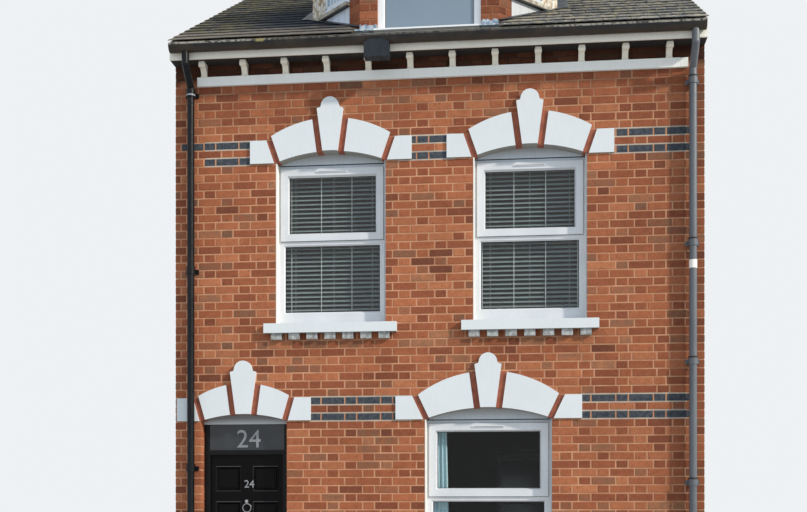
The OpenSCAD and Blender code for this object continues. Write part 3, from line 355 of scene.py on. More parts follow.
def slate_finish(name, moss, weather_and_light=None):
    """Slates that vary one by one, with lichen, moss, the fine grain of split stone and painted shade on
    their edges.
    """
    f = Finish(name, rough=0.8, specular=0.06)
    tone, light, edge = f.tone()
    colour = f.ramp(tone, [(0, (58, 63, 70)), (0.35, (76, 79, 83)), (0.7, (88, 88, 88)), (1, (100, 98, 94))])
    colour = f.shade(colour, f.span(light, 0, 1, (0.84, 1.14)))
    colour = f.fleck(colour, (110, 100, 78), 9, 0.5, 0.7, 0.6 * moss)
    colour = f.fleck(colour, (136, 122, 90), 20, 0.53, 0.62, 0.8 * moss)
    colour = f.fleck(colour, (146, 146, 136), 34, 0.58, 0.65, 0.7)
    colour = f.fleck(colour, (36, 37, 40), 17, 0.54, 0.61, 0.85, detail=6)
    if weather_and_light:
        colour = weather_and_light(f, colour)
    # Painted shade on the slates' edges, which carry 1 as their third tone number
    colour = f.mix(f.times(edge, 0.6), colour, (46, 45, 45))
    f.grain(0.002, 45, stretch=(1, 3, 3), detail=7)
    f.done(colour, f.noise(18, 0.3, 0.7, to=(0.7, 0.9)))


def glass_finish(name, gloss):
    """A thin pane: clear straight on, with a mirror's share that grows at a slant."""
    f = Finish(name)
    clear = f.node("BsdfTransparent", Color=(238, 243, 243)).outputs[0]
    mirror = f.node("BsdfGlossy", Roughness=0.03).outputs[0]
    edge = f.node("Fresnel", IOR=gloss).outputs[0]
    outside = f.rest(f.node("NewGeometry").outputs["Backfacing"])
    mixed = f.node("MixShader")
    for value, socket in zip((f.times(edge, outside), clear, mirror), mixed.inputs):
        f.put(value, socket)
    f.put(mixed.outputs[0], f.nodes["Material Output"].inputs["Surface"])
    f.nodes.remove(f.shader)


def from_bay(f):
    """Distance from the bay's middle, to either side."""
    return f.size(f.plus(f.axis("X"), -BAY_X))


def striped_pane():
    """The bay's slanting panes, with pale upright louvres close behind the glass."""
    f = Finish("side_pane", rough=0.15)
    wave = f.math("SINE", f.times(from_bay(f), 2 * math.pi / 0.034))
    f.done(f.mix(f.span(wave, -0.7, 0.5), (146, 170, 190), (196, 212, 222)))


def infill_finish():
    """Grey panels over the windows, with painted shade towards the arch."""
    f = Finish("infill", rough=0.45)
    z = f.axis("Z")
    spring = f.times(f.plus(f.math("GREATER_THAN", z, 4.0), 1.0), GROUND_SPRING)
    colour = f.fleck((194, 203, 210), (140, 147, 152), 9, 0.5, 0.8, 0.3, stretch=(6, 6, 0.6))
    # Painted shade under the arch, darkest at the top of the panel
    arch_shade = f.span(f.math("SUBTRACT", z, spring), 0.015, 0.085, (0, 0.6))
    f.done(f.mix(arch_shade, colour, (146, 145, 142)))


def door_frame_finish():
    """Black paint, with a grey panel in the arch over the frame's head, darker towards its top as painted
    shade.
    """
    f = Finish("door_frame", rough=0.35, specular=0.2)
    z = f.axis("Z")
    # Painted shade: the panel is lighter at its foot and darker towards the arch
    panel = f.mix(f.span(z, 2.4, 2.45), (200, 205, 208), (138, 140, 141))
    f.done(f.mix(f.span(z, 2.3945, 2.3955), f.fleck((10, 9, 11), (18, 17, 19), 4), panel))


def timber_finish(name, base, other):
    """Sawn boards with grain along X."""
    f = Finish(name, rough=0.7)
    f.grain(0.001, 9, 0.35, 0.65, stretch=(1, 14, 14), detail=8)
    f.done(f.fleck(base, other, 5, stretch=(1, 14, 14), detail=8))


def bay_finish():
    """White painted sides with a weathered outer board and a grey sill, told apart by their places; painted
    light and shade make the right side's white greyer and the left's paler, and a painted shadow runs along
    the sill's foot.
    """
    f = Finish("bay_sides")
    x, z = f.axis("X"), f.axis("Z")
    along = f.times(f.plus(from_bay(f), f.axis("Y"), 2.835), SLANT)
    # Painted light and shade: greyer white on the right-hand side, paler and bluer on the left
    white = f.mix(f.span(x, -0.06, -0.04), (224, 234, 246), (196, 199, 201))
    white = f.fleck(white, (160, 160, 150), 6, 0.45, 0.8, 0.5, stretch=(4, 4, 0.8))
    worn = f.fleck((226, 222, 208), (176, 152, 118), 14, 0.45, 0.62, stretch=(2, 2, 1.2))
    worn = f.fleck(worn, (134, 98, 66), 24, 0.58, 0.66, 0.85)
    board = f.times(f.span(along, 0.402, 0.408), f.span(along, 0.64, 0.64001, FADE), f.span(z, 6.413, 6.414))
    sill = f.times(f.span(z, 6.3685, 6.3695), f.span(z, 6.4136, 6.4144, FADE))
    stone = f.fleck((186, 180, 160), (136, 126, 108), 22, 0.4, 0.6)
    colour = f.mix(sill, f.mix(board, white, worn), stone)
    # A dark strip along the sill's foot: painted shadow
    colour = f.mix(f.times(sill, f.span(z, 6.380, 6.382, FADE)), colour, (52, 50, 48))
    f.grain(0.002, 30, stretch=(2, 2, 0.6), detail=8)
    f.done(colour)


def bay_roof_finish():
    """White boards round the bay's head, and dark slate bedding over them."""
    f = Finish("bay_roof")
    white = f.fleck((216, 220, 222), (158, 158, 150), 6, 0.45, 0.8, 0.5)
    f.grain(0.001, 60)
    f.done(f.mix(f.span(f.axis("Z"), 7.349, 7.3495), white, (58, 60, 64)))


def apron_finish():
    """Weathered lead, with a white painted sill under the bay's window."""
    f = Finish("apron", rough=0.5)
    lead = f.fleck((200, 212, 220), (112, 134, 154), 26, 0.4, 0.6)
    f.grain(0.001, 90)
    f.done(f.mix(f.span(from_bay(f), 0.482, 0.4825, FADE), lead, (242, 245, 246)))


brick_finish("brick", [(0, (114, 66, 48)), (0.12, (136, 76, 52)), (0.4, (151, 87, 59)),
                       (0.65, (161, 94, 63)), (0.85, (171, 103, 70)), (1, (182, 116, 80))], True)
brick_finish("rear_brick", [(0, (88, 56, 48)), (0.2, (126, 74, 56)), (0.5, (152, 88, 64)),
                            (1, (180, 116, 84))], False)
mortar_finish("mortar", (208, 156, 122), (184, 128, 96))
mortar_finish("pier_mortar", (178, 122, 92), (150, 98, 72))
mortar_finish("rear_mortar", (200, 168, 144), (180, 150, 128), False)
mortar_finish("pale_mortar", (204, 184, 164), (172, 160, 148))
plain_finish("strip", (158, 88, 62), (134, 72, 52), 16, 0.75, 180, 0.0008)
painted_finish("stone", (219, 225, 228), (184, 187, 184), 0.55, 0.1)
# Darker paint for the stones' downward faces: some dirt, mostly painted shade under them
painted_finish("stone_dirt_and_shade", (150, 148, 142), (112, 106, 96), 0.7, 0.5)
# Greyer than the sills' white paint: painted shade under the sills
plain_finish("dentil", (184, 188, 188), (132, 133, 130), 30, 0.7, 120, 0.001)
painted_finish("rear_stone", (186, 180, 166), (132, 126, 112), 0.8, 0.8)
painted_finish("step", (150, 146, 138), (104, 100, 94), 0.85, 0.8)
# Near-black plaster for the rooms' inner faces: painted shade, so the windows look into dark rooms
plain_finish("room", (58, 56, 54), (48, 47, 46), 3, 0.9)
plain_finish("screed", (120, 116, 110), (96, 93, 88), 3, 0.9)
timber_finish("floor_boards", (128, 96, 66), (96, 70, 48))
timber_finish("deck_boards", (92, 80, 66), (68, 58, 48))
plain_finish("white_frame", (219, 222, 226), (208, 212, 216), 3, 0.32, 300, 0.0001)
plain_finish("bay_frame", (244, 246, 247), (236, 239, 241), 3, 0.4, 300, 0.0001)
painted_finish("lining", (244, 240, 232), (216, 208, 196), 0.5, 0.2)
# The linings' white made grey: painted shade on the right-hand jambs
painted_finish("lining_shade", (136, 142, 150), (112, 114, 116), 0.5, 0.3)
infill_finish()
plain_finish("gasket", (24, 25, 27), (34, 35, 37), 30, 0.7)
glass_finish("pane", 1.62)
glass_finish("low_pane", 1.38)
# Opaque dark panes: painted shade of the unlit space behind the fanlight and the rear windows
plain_finish("fan_pane", (34, 38, 43), (50, 54, 58), 3, 0.1, 40, 0.0001)
plain_finish("rear_pane", (26, 31, 35), (34, 40, 45), 2, 0.06, 40, 0.0001)
striped_pane()
# Opaque pale blue: painted reflection of the sky in the bay's front panes
plain_finish("bay_sky_reflection", (126, 142, 156), (120, 137, 151), 1, 0.12, 40, 0.0001)
plain_finish("slat", (176, 180, 178), (166, 170, 168), 8, 0.5)
plain_finish("curtain", (222, 240, 246), (204, 226, 234), 40, 0.9, 500, 0.0008)
# Near-black undersides of the eaves boards: painted shade under the eaves
plain_finish("soffit", (42, 37, 33), (34, 30, 28), 6, 0.8)
plain_finish("steel", (176, 178, 180), (160, 162, 165), 20, 0.25, 300, 0.0001, metal=1.0)
plain_finish("numeral", (150, 154, 158), (134, 138, 142), 20, 0.35, 300, 0.0001, metal=0.6)
plain_finish("hinge", (150, 140, 116), (126, 116, 94), 20, 0.4, 300, 0.0002, metal=1.0)
painted_finish("black", (10, 8, 10), (22, 20, 21), 0.3, 0.3, specular=0.1)
# Grey on the door's black mouldings: a painted highlight on their bevels
painted_finish("moulding_highlight", (64, 66, 69), (44, 44, 46), 0.3, 0.3, specular=0.2)
door_frame_finish()
painted_finish("cream", (232, 226, 210), (182, 172, 148), 0.5, 0.18)
# The brackets' cream made paler: painted light on the fascia
painted_finish("fascia", (252, 249, 236), (206, 198, 176), 0.5, 0.12)
painted_finish("board", (242, 243, 238), (196, 198, 194), 0.5, 0.14)
gutter_finish()
painted_finish("black_iron", (15, 18, 22), (34, 34, 36), 0.35, 0.4, specular=0.2)
painted_finish("grey_iron", (98, 103, 109), (66, 68, 72), 0.4, 0.4)
painted_finish("box", (28, 36, 44), (58, 62, 66), 0.55, 0.5, specular=0.3)
slate_finish("slate", 0.8, front_weather_and_light)
slate_finish("bay_slate", 0.35)
plain_finish("ridge", (126, 78, 62), (96, 62, 52), 8, 0.85, 90, 0.002)
plain_finish("pot", (176, 104, 68), (130, 78, 56), 6, 0.8, 90, 0.0015)
plain_finish("lead", (198, 210, 218), (112, 134, 154), 26, 0.5, 120, 0.001)
painted_finish("dark_lead", (54, 59, 66), (42, 45, 49), 0.5, 0.6)
bay_finish()
bay_roof_finish()
apron_finish()
plain_finish("floor", (196, 194, 190), (190, 188, 184), 0.2, 0.9)


# Meshes

def add_piece(name, mesh, slot, body="house", replaces=()):
    """Puts a mesh into the scene as a piece of a body."""
    piece = bpy.data.objects.new(name, mesh)
    bpy.context.scene.collection.objects.link(piece)
    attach(piece, body)
    if replaces:
        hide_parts(*replaces)
    return piece


class Pieces:
    """Gathers many small blocks into one mesh, each face with a tone and a material."""

    def __init__(self):
        self.points = []
        self.faces = []
        self.tones = []
        self.kinds = []

    def add(self, points, faces, tone=PLAIN, kind=0):
        start = len(self.points)
        self.points.extend(points)
        self.faces.extend(tuple(start + i for i in face) for face in faces)
        self.tones.extend([tone] * len(faces))
        self.kinds.extend([kind] * len(faces))

    def box(self, low, high, edge=0.0, **more):
        """A box, with its edges and corners cut back by edge."""
        if edge:
            self.cut_box(low, high, edge, **more)
            return
        (x0, y0, z0), (x1, y1, z1) = low, high
        points = [(x, y, z) for z in (z0, z1) for y in (y0, y1) for x in (x0, x1)]
        self.add(points, [(0, 2, 3, 1), (4, 5, 7, 6), (0, 1, 5, 4), (2, 6, 7, 3), (0, 4, 6, 2), (1, 3, 7, 5)],
                 **more)

    def cut_box(self, low, high, edge, **more):
        """Three points at each corner, where each side's face ends, and the faces between them."""
        mids = [(a + b) / 2 for a, b in zip(low, high)]
        halves = [(b - a) / 2 for a, b in zip(low, high)]
        edge = min(edge, min(halves) * 0.8)
        corners = list(product((-1, 1), repeat=3))
        points = [[mids[i] + signs[i] * (halves[i] - (0 if i == full else edge)) for i in range(3)]
                  for signs in corners for full in range(3)]

        def at(full, signs):
            return 3 * corners.index(tuple(signs)) + full

        faces = []
        for axis in range(3):
            a, b = (axis + 1) % 3, (axis + 2) % 3

            def corner(sign, sa, sb):
                signs = [0, 0, 0]
                signs[axis], signs[a], signs[b] = sign, sa, sb
                return signs

            for sign in (-1, 1):
                ring = [at(axis, corner(sign, *pair)) for pair in ((-1, -1), (1, -1), (1, 1), (-1, 1))]
                faces.append(ring[::sign])
            for pair in product((-1, 1), repeat=2):
                start, end = corner(-1, *pair), corner(1, *pair)
                ring = [at(a, start), at(a, end), at(b, end), at(b, start)]
                faces.append(ring[::pair[0] * pair[1]])
        for signs in corners:
            faces.append([at(full, signs) for full in range(3)][::math.prod(signs)])
        self.add(points, faces, **more)

    def sweep(self, outline, x0, x1):
        """An outline in the YZ plane, anticlockwise seen from +X, drawn along X."""
        n = len(outline)
        points = [(x, y, z) for x in (x0, x1) for y, z in outline]
        sides = [(n + i, n + (i + 1) % n, (i + 1) % n, i) for i in range(n)]
        self.add(points, sides + [tuple(range(n))[::-1], tuple(range(n, 2 * n))])

    def ring(self, middle, axis, r0, r1, length, sides, **more):
        """A band round an axis, from r0 to r1 and of a length along it."""
        turn = Vector((0, 0, 1)).rotation_difference(Vector(axis)).to_matrix()
        points = []
        for r, h in ((r1, -0.5), (r1, 0.5), (r0, 0.5), (r0, -0.5)):
            for i in range(sides):
                a = 2 * math.pi * i / sides
                points.append(Vector(middle) + turn @ Vector((r * math.cos(a), r * math.sin(a), h * length)))
        faces = []
        for band, i in product(range(4), range(sides)):
            j = (i + 1) % sides
            a, b = band * sides, (band + 1) % 4 * sides
            faces.append((a + i, a + j, b + j, b + i))
        self.add(points, faces, **more)

    def make(self, name, slot, *keys, smooth=False, **more):
        """The gathered blocks as one piece, with the materials that the keys name."""
        mesh = bpy.data.meshes.new(name)
        mesh.from_pydata([tuple(p) for p in self.points], [], self.faces)
        for key in keys:
            mesh.materials.append(MAT[key])
        mesh.polygons.foreach_set("material_index", self.kinds)
        values = [number for face, tone in zip(self.faces, self.tones) for number in (*tone, 1.0) * len(face)]
        mesh.color_attributes.new("tone", "FLOAT_COLOR", "CORNER").data.foreach_set("color", values)
        if smooth:
            mesh.shade_smooth()
        mesh.validate()
        return add_piece(name, mesh, slot, **more)


def paint(mesh, keys):
    """Gives a mesh its materials, the first on every face."""
    mesh.materials.clear()
    for key in keys:
        mesh.materials.append(MAT[key])
    mesh.polygons.foreach_set("material_index", [0] * len(mesh.polygons))


def dress(node, *keys, edge=0.0, segments=2, second=None):
    """Materials and rounded edges for a CAD node; second picks the faces of the second material."""
    mesh = nodes[node].data
    paint(mesh, keys)
    for face in mesh.polygons if second else ():
        face.material_index = 1 if second(face) else 0
    if edge:
        bevel = nodes[node].modifiers.new("rounded_edges", "BEVEL")
        bevel.width = edge
        bevel.segments = segments
        bevel.limit_method = "ANGLE"
        bevel.angle_limit = math.radians(40)
        bevel.harden_normals = False


def replica(node, name, slot, keys, move):
    """A copy that replaces a CAD node, with each point where move puts it."""
    mesh = nodes[node].data.copy()
    mesh.name = name
    for vertex in mesh.vertices:
        vertex.co = move(vertex.co)
    paint(mesh, keys)
    return add_piece(name, mesh, slot, replaces=[node])


# Brickwork

class Face:
    """A wall's outer plane: its origin, the way along it and its outward normal; up is Z."""

    def __init__(self, origin, along, normal):
        self.origin = Vector(origin)
        self.along = Vector(along).normalized()
        self.normal = Vector(normal).normalized()

    def at(self, u, z, n):
        return self.origin + self.along * u + Vector((0, 0, z)) + self.normal * n


BRICK_FACES = [(0, 1, 2, 3), (4, 5, 1, 0), (5, 6, 2, 1), (6, 7, 3, 2), (7, 4, 0, 3),
               (8, 9, 5, 4), (9, 10, 6, 5), (10, 11, 7, 6), (11, 8, 4, 7)]


def lay_brick(kit, face, u0, u1, z0, z1, tone, left, right):
    """A brick with worn arrises; left and right are how far its ends reach back."""
    sink = rng.uniform(0, 0.0009)
    wear = rng.uniform(0.002, 0.004)
    tilt = rng.uniform(-0.0007, 0.0007)
    inner = [(u0 + wear, z0 + wear), (u1 - wear, z0 + wear), (u1 - wear, z1 - wear), (u0 + wear, z1 - wear)]
    outer = [(u0, z0 + tilt), (u1, z0 - tilt), (u1, z1 - tilt), (u0, z1 + tilt)]
    points = [face.at(u, z, -sink) for u, z in inner]
    points += [face.at(u, z, -sink - wear * 0.45) for u, z in outer]
    points += [face.at(u, z, -d) for (u, z), d in zip(outer, (left, right, right, left))]
    turned = face.along.cross(Vector((0, 0, 1))).dot(face.normal) < 0
    kit.add(points, [ring[::-1] if turned else ring for ring in BRICK_FACES], tone)


def bond(row, low, high, shift):
    """Flemish bond: the bricks' ends from low to high in a course, with short ones joined to a neighbour."""
    start = shift + (PERIOD / 2 if row % 2 else 0.0)
    u = start + (math.floor((low - start) / PERIOD) - 1) * PERIOD
    spans = []
    while u < high:
        for length in (STRETCHER, HEADER):
            a, b = max(u, low), min(u + length, high)
            if b > a:
                spans.append([a, b])
            u += length + JOINT
    while len(spans) > 1 and spans[0][1] - spans[0][0] < SHORTEST:
        spans[1][0] = spans[0][0]
        spans.pop(0)
    while len(spans) > 1 and spans[-1][1] - spans[-1][0] < SHORTEST:
        spans[-2][1] = spans[-1][1]
        spans.pop()
    if spans:
        spans[0][0] = low
        spans[-1][1] = high
    return spans


def lay_course(kit, face, row, z0, low, high, blue=(), deep=(POINTING, POINTING), shift=0.0, limit=99.0):
    """A course from low to high, with blue spans; deep is how far the end bricks reach back."""
    z1 = min(z0 + COURSE - JOINT, limit)
    for a, b in bond(row, low, high, shift):
        tone = 0.1 + 0.9 * rng.random() ** (1.2 if b - a < 0.16 else 0.8)
        if rng.random() < 0.05:
            tone = rng.uniform(0, 0.1)
        is_blue = 1.0 if any(start <= (a + b) / 2 <= end for start, end in blue) else 0.0
        left = deep[0] if abs(a - low) < 1e-6 else POINTING
        right = deep[1] if abs(b - high) < 1e-6 else POINTING
        a += rng.uniform(0, SLIP) if left == POINTING else 0
        b -= rng.uniform(0, SLIP) if right == POINTING else 0
        lay_brick(kit, face, a, b, z0, z1, (tone, rng.random(), is_blue), left, right)


def free_spans(holes):
    """What is left of the house's width beside the holes, each (start, end)."""
    edges = [-HALF_W, *sorted(edge for hole in holes for edge in hole), HALF_W]
    return list(zip(edges[::2], edges[1::2]))


# Blue bricks by the rows that have them
BLUE_SPANS = {32: ((-1.165, -0.2), (1.355, 2.303)), 64: ((-2.172, -1.735), (-0.33, 0.2), (1.6, 2.303)),
              34: ((-1.165, -0.2), (1.355, 2.303)), 66: ((-2.4, -1.735), (-0.33, 0.2), (1.6, 2.303))}


def front_holes(row):
    """Openings of the front wall that a course meets."""
    holes = []
    if 43 <= row <= 65:
        half = SILL_HALF if row == 43 else UPPER_HALF + (0 if row < 64 else 0.03)
        holes += [(x - half, x + half) for x in UPPER_X]
    if 10 <= row <= 33:
        half = 0.692 if row == 10 else GROUND_HALF + (0 if row < 32 else 0.03)
        holes.append((GROUND_X - half, GROUND_X + half))
    if row <= 33:
        half = DOOR_HALF + (0 if row < 32 else 0.03)
        holes.append((DOOR_X - half, DOOR_X + half))
    return holes


def lay_front():
    """The front's bond; a course without openings is laid from both ends and meets at break_x."""
    kit = Pieces()
    face = Face((0, FRONT, 0), (1, 0, 0), (0, -1, 0))
    for row in range(77):
        break_x = 0.3562 if row % 2 else 0.525
        spans = []
        for a, b in free_spans(front_holes(row)):
            spans.extend([(a, break_x - JOINT), (break_x, b)] if a < -1 and b > 1 else [(a, b)])
        for a, b in spans:
            deep = [0.105 if row < 32 and abs(end - jamb) < 0.001 else POINTING
                    for end, jamb in ((a, DOOR_X + DOOR_HALF), (b, DOOR_X - DOOR_HALF))]
            shift = 0.1 if a > 0.4 else 0.3
            lay_course(kit, face, row, row * COURSE, a, b, BLUE_SPANS.get(row, ()), deep, shift)
    kit.make("bricks_front", "front_brick", "brick")


def rear_holes(row):
    """Openings and arches of the rear wall that a course meets."""
    half = 0
    for spring, sill in ((32, 11), (64, 44)):
        if row == sill - 1:
            half = SILL_HALF
        elif sill <= row < spring:
            half = UPPER_HALF
        elif spring <= row < spring + 6:
            outer = REAR_ARCH + 0.225
            up = (row + 0.5) * COURSE - (spring * COURSE + UPPER_RISE - REAR_ARCH)
            half = min(math.sqrt(outer * outer - up * up) if up < outer else 0.0, 0.612)
    return [(x - half, x + half) for x in REAR_X] if half else []


def rear_arches(kit, face, count=14):
    """Rings of cut bricks over the rear openings."""
    reach = math.asin(UPPER_HALF / REAR_ARCH)
    step = 2 * reach / count
    gap = JOINT / 2 / REAR_ARCH
    for spring, x, i in product((GROUND_SPRING, UPPER_SPRING), REAR_X, range(count)):
        middle = spring + UPPER_RISE - REAR_ARCH
        tone = (rng.random() ** 0.9, rng.random(), 0.0)
        angles = (-reach + i * step + gap, -reach + (i + 1) * step - gap)
        corners = [(x + r * math.sin(a), middle + r * math.cos(a))
                   for r in (REAR_ARCH - 0.003, REAR_ARCH + 0.215) for a in angles]
        points = [face.at(u, z, n) for n in (0, -0.1) for u, z in corners]
        kit.add(points, [(0, 1, 3, 2), (4, 5, 1, 0), (2, 3, 7, 6), (4, 0, 2, 6), (1, 5, 7, 3)], tone)


def lay_rear():
    """The rear's bond and its arches."""
    kit = Pieces()
    face = Face((0, REAR, 0), (-1, 0, 0), (0, 1, 0))
    for row in range(77):
        holes = rear_holes(row)
        edges = [edge for hole in holes for edge in hole] if 11 <= row < 32 or 44 <= row < 64 else []
        for a, b in free_spans(holes):
            deep = [0.1 if any(abs(end - edge) < 1e-6 for edge in edges) else POINTING for end in (a, b)]
            lay_course(kit, face, row, row * COURSE, a, b, deep=deep, shift=0.02)
    rear_arches(kit, face)
    kit.make("bricks_rear", "rear_brick", "rear_brick")


def lay_party(name, side):
    """Plain brickwork of a party wall, up to the roof deck."""
    kit = Pieces()
    face = Face((side * HALF_W, 0, 0), (0, side, 0), (side, 0, 0))
    for row in range(109):
        z0 = row * COURSE
        top = z0 + COURSE - JOINT + 0.1 / COS_PITCH
        reach = min(3.795, DECK_EDGE - (top - FASCIA_TOP) / math.tan(PITCH))
        if reach > 0.1:
            lay_course(kit, face, row, z0, -reach, reach)
    kit.make(name, "rear_brick", "rear_brick")


def lay_stack():
    """The chimney's shaft and its three oversailing courses."""
    kit = Pieces()
    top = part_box("chimney_stack")[1].z
    levels = [(9 + i, top - (i + 1) * COURSE, out) for i, out in enumerate((0.025, 0.05, 0.025))]
    levels += [(12 + i, top - (i + 4) * COURSE, 0.0) for i in range(16)]
    for row, z0, out in levels:
        x0, x1, half = STACK_X - out, HALF_W, STACK_HALF + out
        if z0 > 7.75:
            for face, a, b in ((Face((0, -half, 0), (1, 0, 0), (0, -1, 0)), x0, x1),
                               (Face((0, half, 0), (-1, 0, 0), (0, 1, 0)), -x1, -x0),
                               (Face((x0, 0, 0), (0, -1, 0), (-1, 0, 0)), -half, half),
                               (Face((x1, 0, 0), (0, 1, 0), (1, 0, 0)), -half, half)):
                lay_course(kit, face, row, z0, a, b, shift=0.09)
    kit.make("bricks_stack", "front_brick", "brick")


def lay_piers():
    """Brick corners of the bay: their fronts and short canted returns."""
    kit = Pieces()
    front = Face((BAY_X, BAY_Y, 0), (1, 0, 0), (0, -1, 0))
    top = BAY_HEAD - 0.002
    for side in (-1, 1):
        low, high = sorted((side * 0.485, side * BAY_HALF))
        cant = Face((BAY_X + side * BAY_HALF, BAY_Y, 0), (side * SLANT, SLANT, 0), (side * SLANT, -SLANT, 0))
        for row in range(79, 95):
            lay_course(kit, front, row, row * COURSE, low, high, shift=0.04 * side, limit=top)
            lay_course(kit, cant, row, row * COURSE, 0.0, 0.1626, shift=0.1, limit=top)
    kit.make("bricks_bay", "front_brick", "brick")


def wall_core(node, moves, room=None):
    """A wall set back behind its bricks by moves (axis, from, to); room is its inner side's place."""
    def set_back(point):
        place = list(point)
        for axis, start, end in moves:
            if abs(point[axis] - start) < 2e-4:
                place[axis] = end
        return place

    behind = "rear" in node or "party" in node
    core = replica(node, node + "_core", "rear_brick" if behind else "front_brick",
                   ("rear_mortar" if behind else "mortar", "room"), set_back)
    # Inner faces take the near-black room plaster, as painted shade
    if room:
        axis, place = room
        for face in core.data.polygons:
            inside = abs(face.normal[axis]) > 0.9 and abs(abs(face.center[axis]) - place) < 0.003
            face.material_index = 1 if inside else 0


def moved(axis, place, way):
    """The move of a wall's face by the pointing's depth, up or down its axis."""
    return axis, place, place + way * POINTING


def wall_cores():
    """The walls and the chimney stack, set back behind their bricks."""
    ways = (-1, 1)
    ends = [moved(0, way * HALF_W, -way) for way in ways]
    door = [moved(0, DOOR_X + way * DOOR_HALF, way) for way in ways]
    jambs = [moved(0, x + way * UPPER_HALF, way) for x in REAR_X for way in ways]
    for level, more in (("left", door), ("ground", door), ("middle", []), ("top", [])):
        wall_core("front_wall_" + level, [moved(1, FRONT, 1), *ends, *more], (1, ROOM_Y))
    for level in ("ground", "middle", "top"):
        wall_core("rear_wall_" + level, [moved(1, REAR, -1), *ends, *jambs], (1, ROOM_Y))
    for side in ("left", "right"):
        wall_core("party_wall_" + side, ends, (0, STACK_X))
    sides = []
    for out in (0, 0.025, 0.05):
        sides += [moved(0, STACK_X - out, 1), *(moved(1, way * (STACK_HALF + out), -way) for way in ways)]
    wall_core("chimney_stack", [ends[1], *sides])


def band_pointing():
    """Paler joints above and below the blue bricks."""
    pale = Pieces()
    for spring in (64, 32):
        for (a, b), row in product(BLUE_SPANS[spring], range(spring, spring + 4)):
            z = row * COURSE
            pale.box((a, FRONT + 0.0022, z - JOINT), (b, FRONT + 0.02, z))
    pale.make("band_pointing", "front_brick", "pale_mortar")


wall_cores()
lay_front()
lay_rear()
lay_party("bricks_left", -1)
lay_party("bricks_right", 1)
lay_stack()
lay_piers()
band_pointing()
replica("head_strips", "rubbed_strips", "strip_brick", ["strip"], lambda point: point + Vector((0, -HAIR, 0)))

# Stones and sills
# Faces of the stones and sills that look down take the darker paint: dirt and painted shade
for node in ("stones_first_left", "stones_first_right", "stones_ground_window", "stones_door",
             "sill_first_left", "sill_first_right", "sill_ground"):
    dress(node, "stone", "stone_dirt_and_shade", edge=0.005, second=lambda face: face.normal.z < -0.4)
# Dentils in greyer paint, as painted shade under the sills
dress("sill_dentils", "dentil", edge=0.009, segments=3)
dress("rear_sills", "rear_stone", edge=0.004)
dress("door_step", "step", edge=0.01, segments=3)

# Floors and roof timber
dress("ground_floor", "screed")
dress("first_floor", "floor_boards")
dress("attic_floor", "floor_boards")
dress("roof_deck", "deck_boards")


# Windows

def right_jamb(face):
    """Whether a lining's face looks forward at the right of its window."""
    return face.normal.y < -0.5 and min((face.center.x - x for x in (*UPPER_X, GROUND_X)), key=abs) > 0


for node in ("window_first_left", "window_first_right", "window_ground", "window_sashes",
             "rear_windows", "rear_sashes"):
    dress(node, "white_frame", edge=0.003)
dress("bay_window", "bay_frame", edge=0.003)
# The right-hand jambs' front faces take the grey lining as painted shade
dress("jamb_linings", "lining", "lining_shade", second=right_jamb)
dress("head_infills", "infill")
dress("window_glass", "pane", "low_pane", second=lambda face: face.center.z < 3)
# Rear panes in opaque dark paint, as painted shade of the rooms behind
dress("rear_glass", "rear_pane")
# The bay's front panes take the painted sky reflection
dress("bay_glass", "side_pane", "bay_sky_reflection", second=lambda face: face.normal.y < -0.9)
dress("blinds", "slat")
dress("curtain_rail", "steel")
tapes = Pieces()
low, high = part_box("blinds")
for middle, places in zip(UPPER_X, ((-0.405, -0.117, 0.176, 0.455), (-0.4425, -0.1475, 0.1475, 0.4425))):
    for x in (middle + place for place in places):
        tapes.box((x - 0.003, low.y - 0.0012, low.z), (x + 0.003, low.y + 0.0003, high.z), edge=0.0004)
tapes.make("blind_tapes", "blind_slat", "lining")


def rect_ring(kit, outer, inner, y_outer, y_inner, kind=0):
    """Four mitred faces between two upright rectangles, each (x0, x1, z0, z1)."""
    corners = []
    for (x0, x1, z0, z1), y in ((outer, y_outer), (inner, y_inner)):
        corners += [(x0, y, z0), (x1, y, z0), (x1, y, z1), (x0, y, z1)]
    kit.add(corners, [(i, (i + 1) % 4, 4 + (i + 1) % 4, 4 + i) for i in range(4)], kind=kind)


def grown(rect, by):
    """A rectangle made larger by a margin on every side."""
    return (rect[0] - by, rect[1] + by, rect[2] - by, rect[3] + by)


def glazing(kit, rect, y_front, y_glass, side=1):
    """Bevelled beads and a dark gasket round a pane; side is -1 on the rear."""
    bead, lip = grown(rect, -0.012), grown(rect, -0.017)
    for outer, inner, y0, y1, kind in ((rect, bead, y_front + 0.003, y_glass - 0.005, 0),
                                       (bead, bead, y_glass - 0.005, y_glass, 0),
                                       (bead, lip, y_glass - 0.003, y_glass - 0.003, 1),
                                       (lip, lip, y_glass - 0.003, y_glass, 1)):
        rect_ring(kit, outer, inner, side * y0, side * y1, kind)


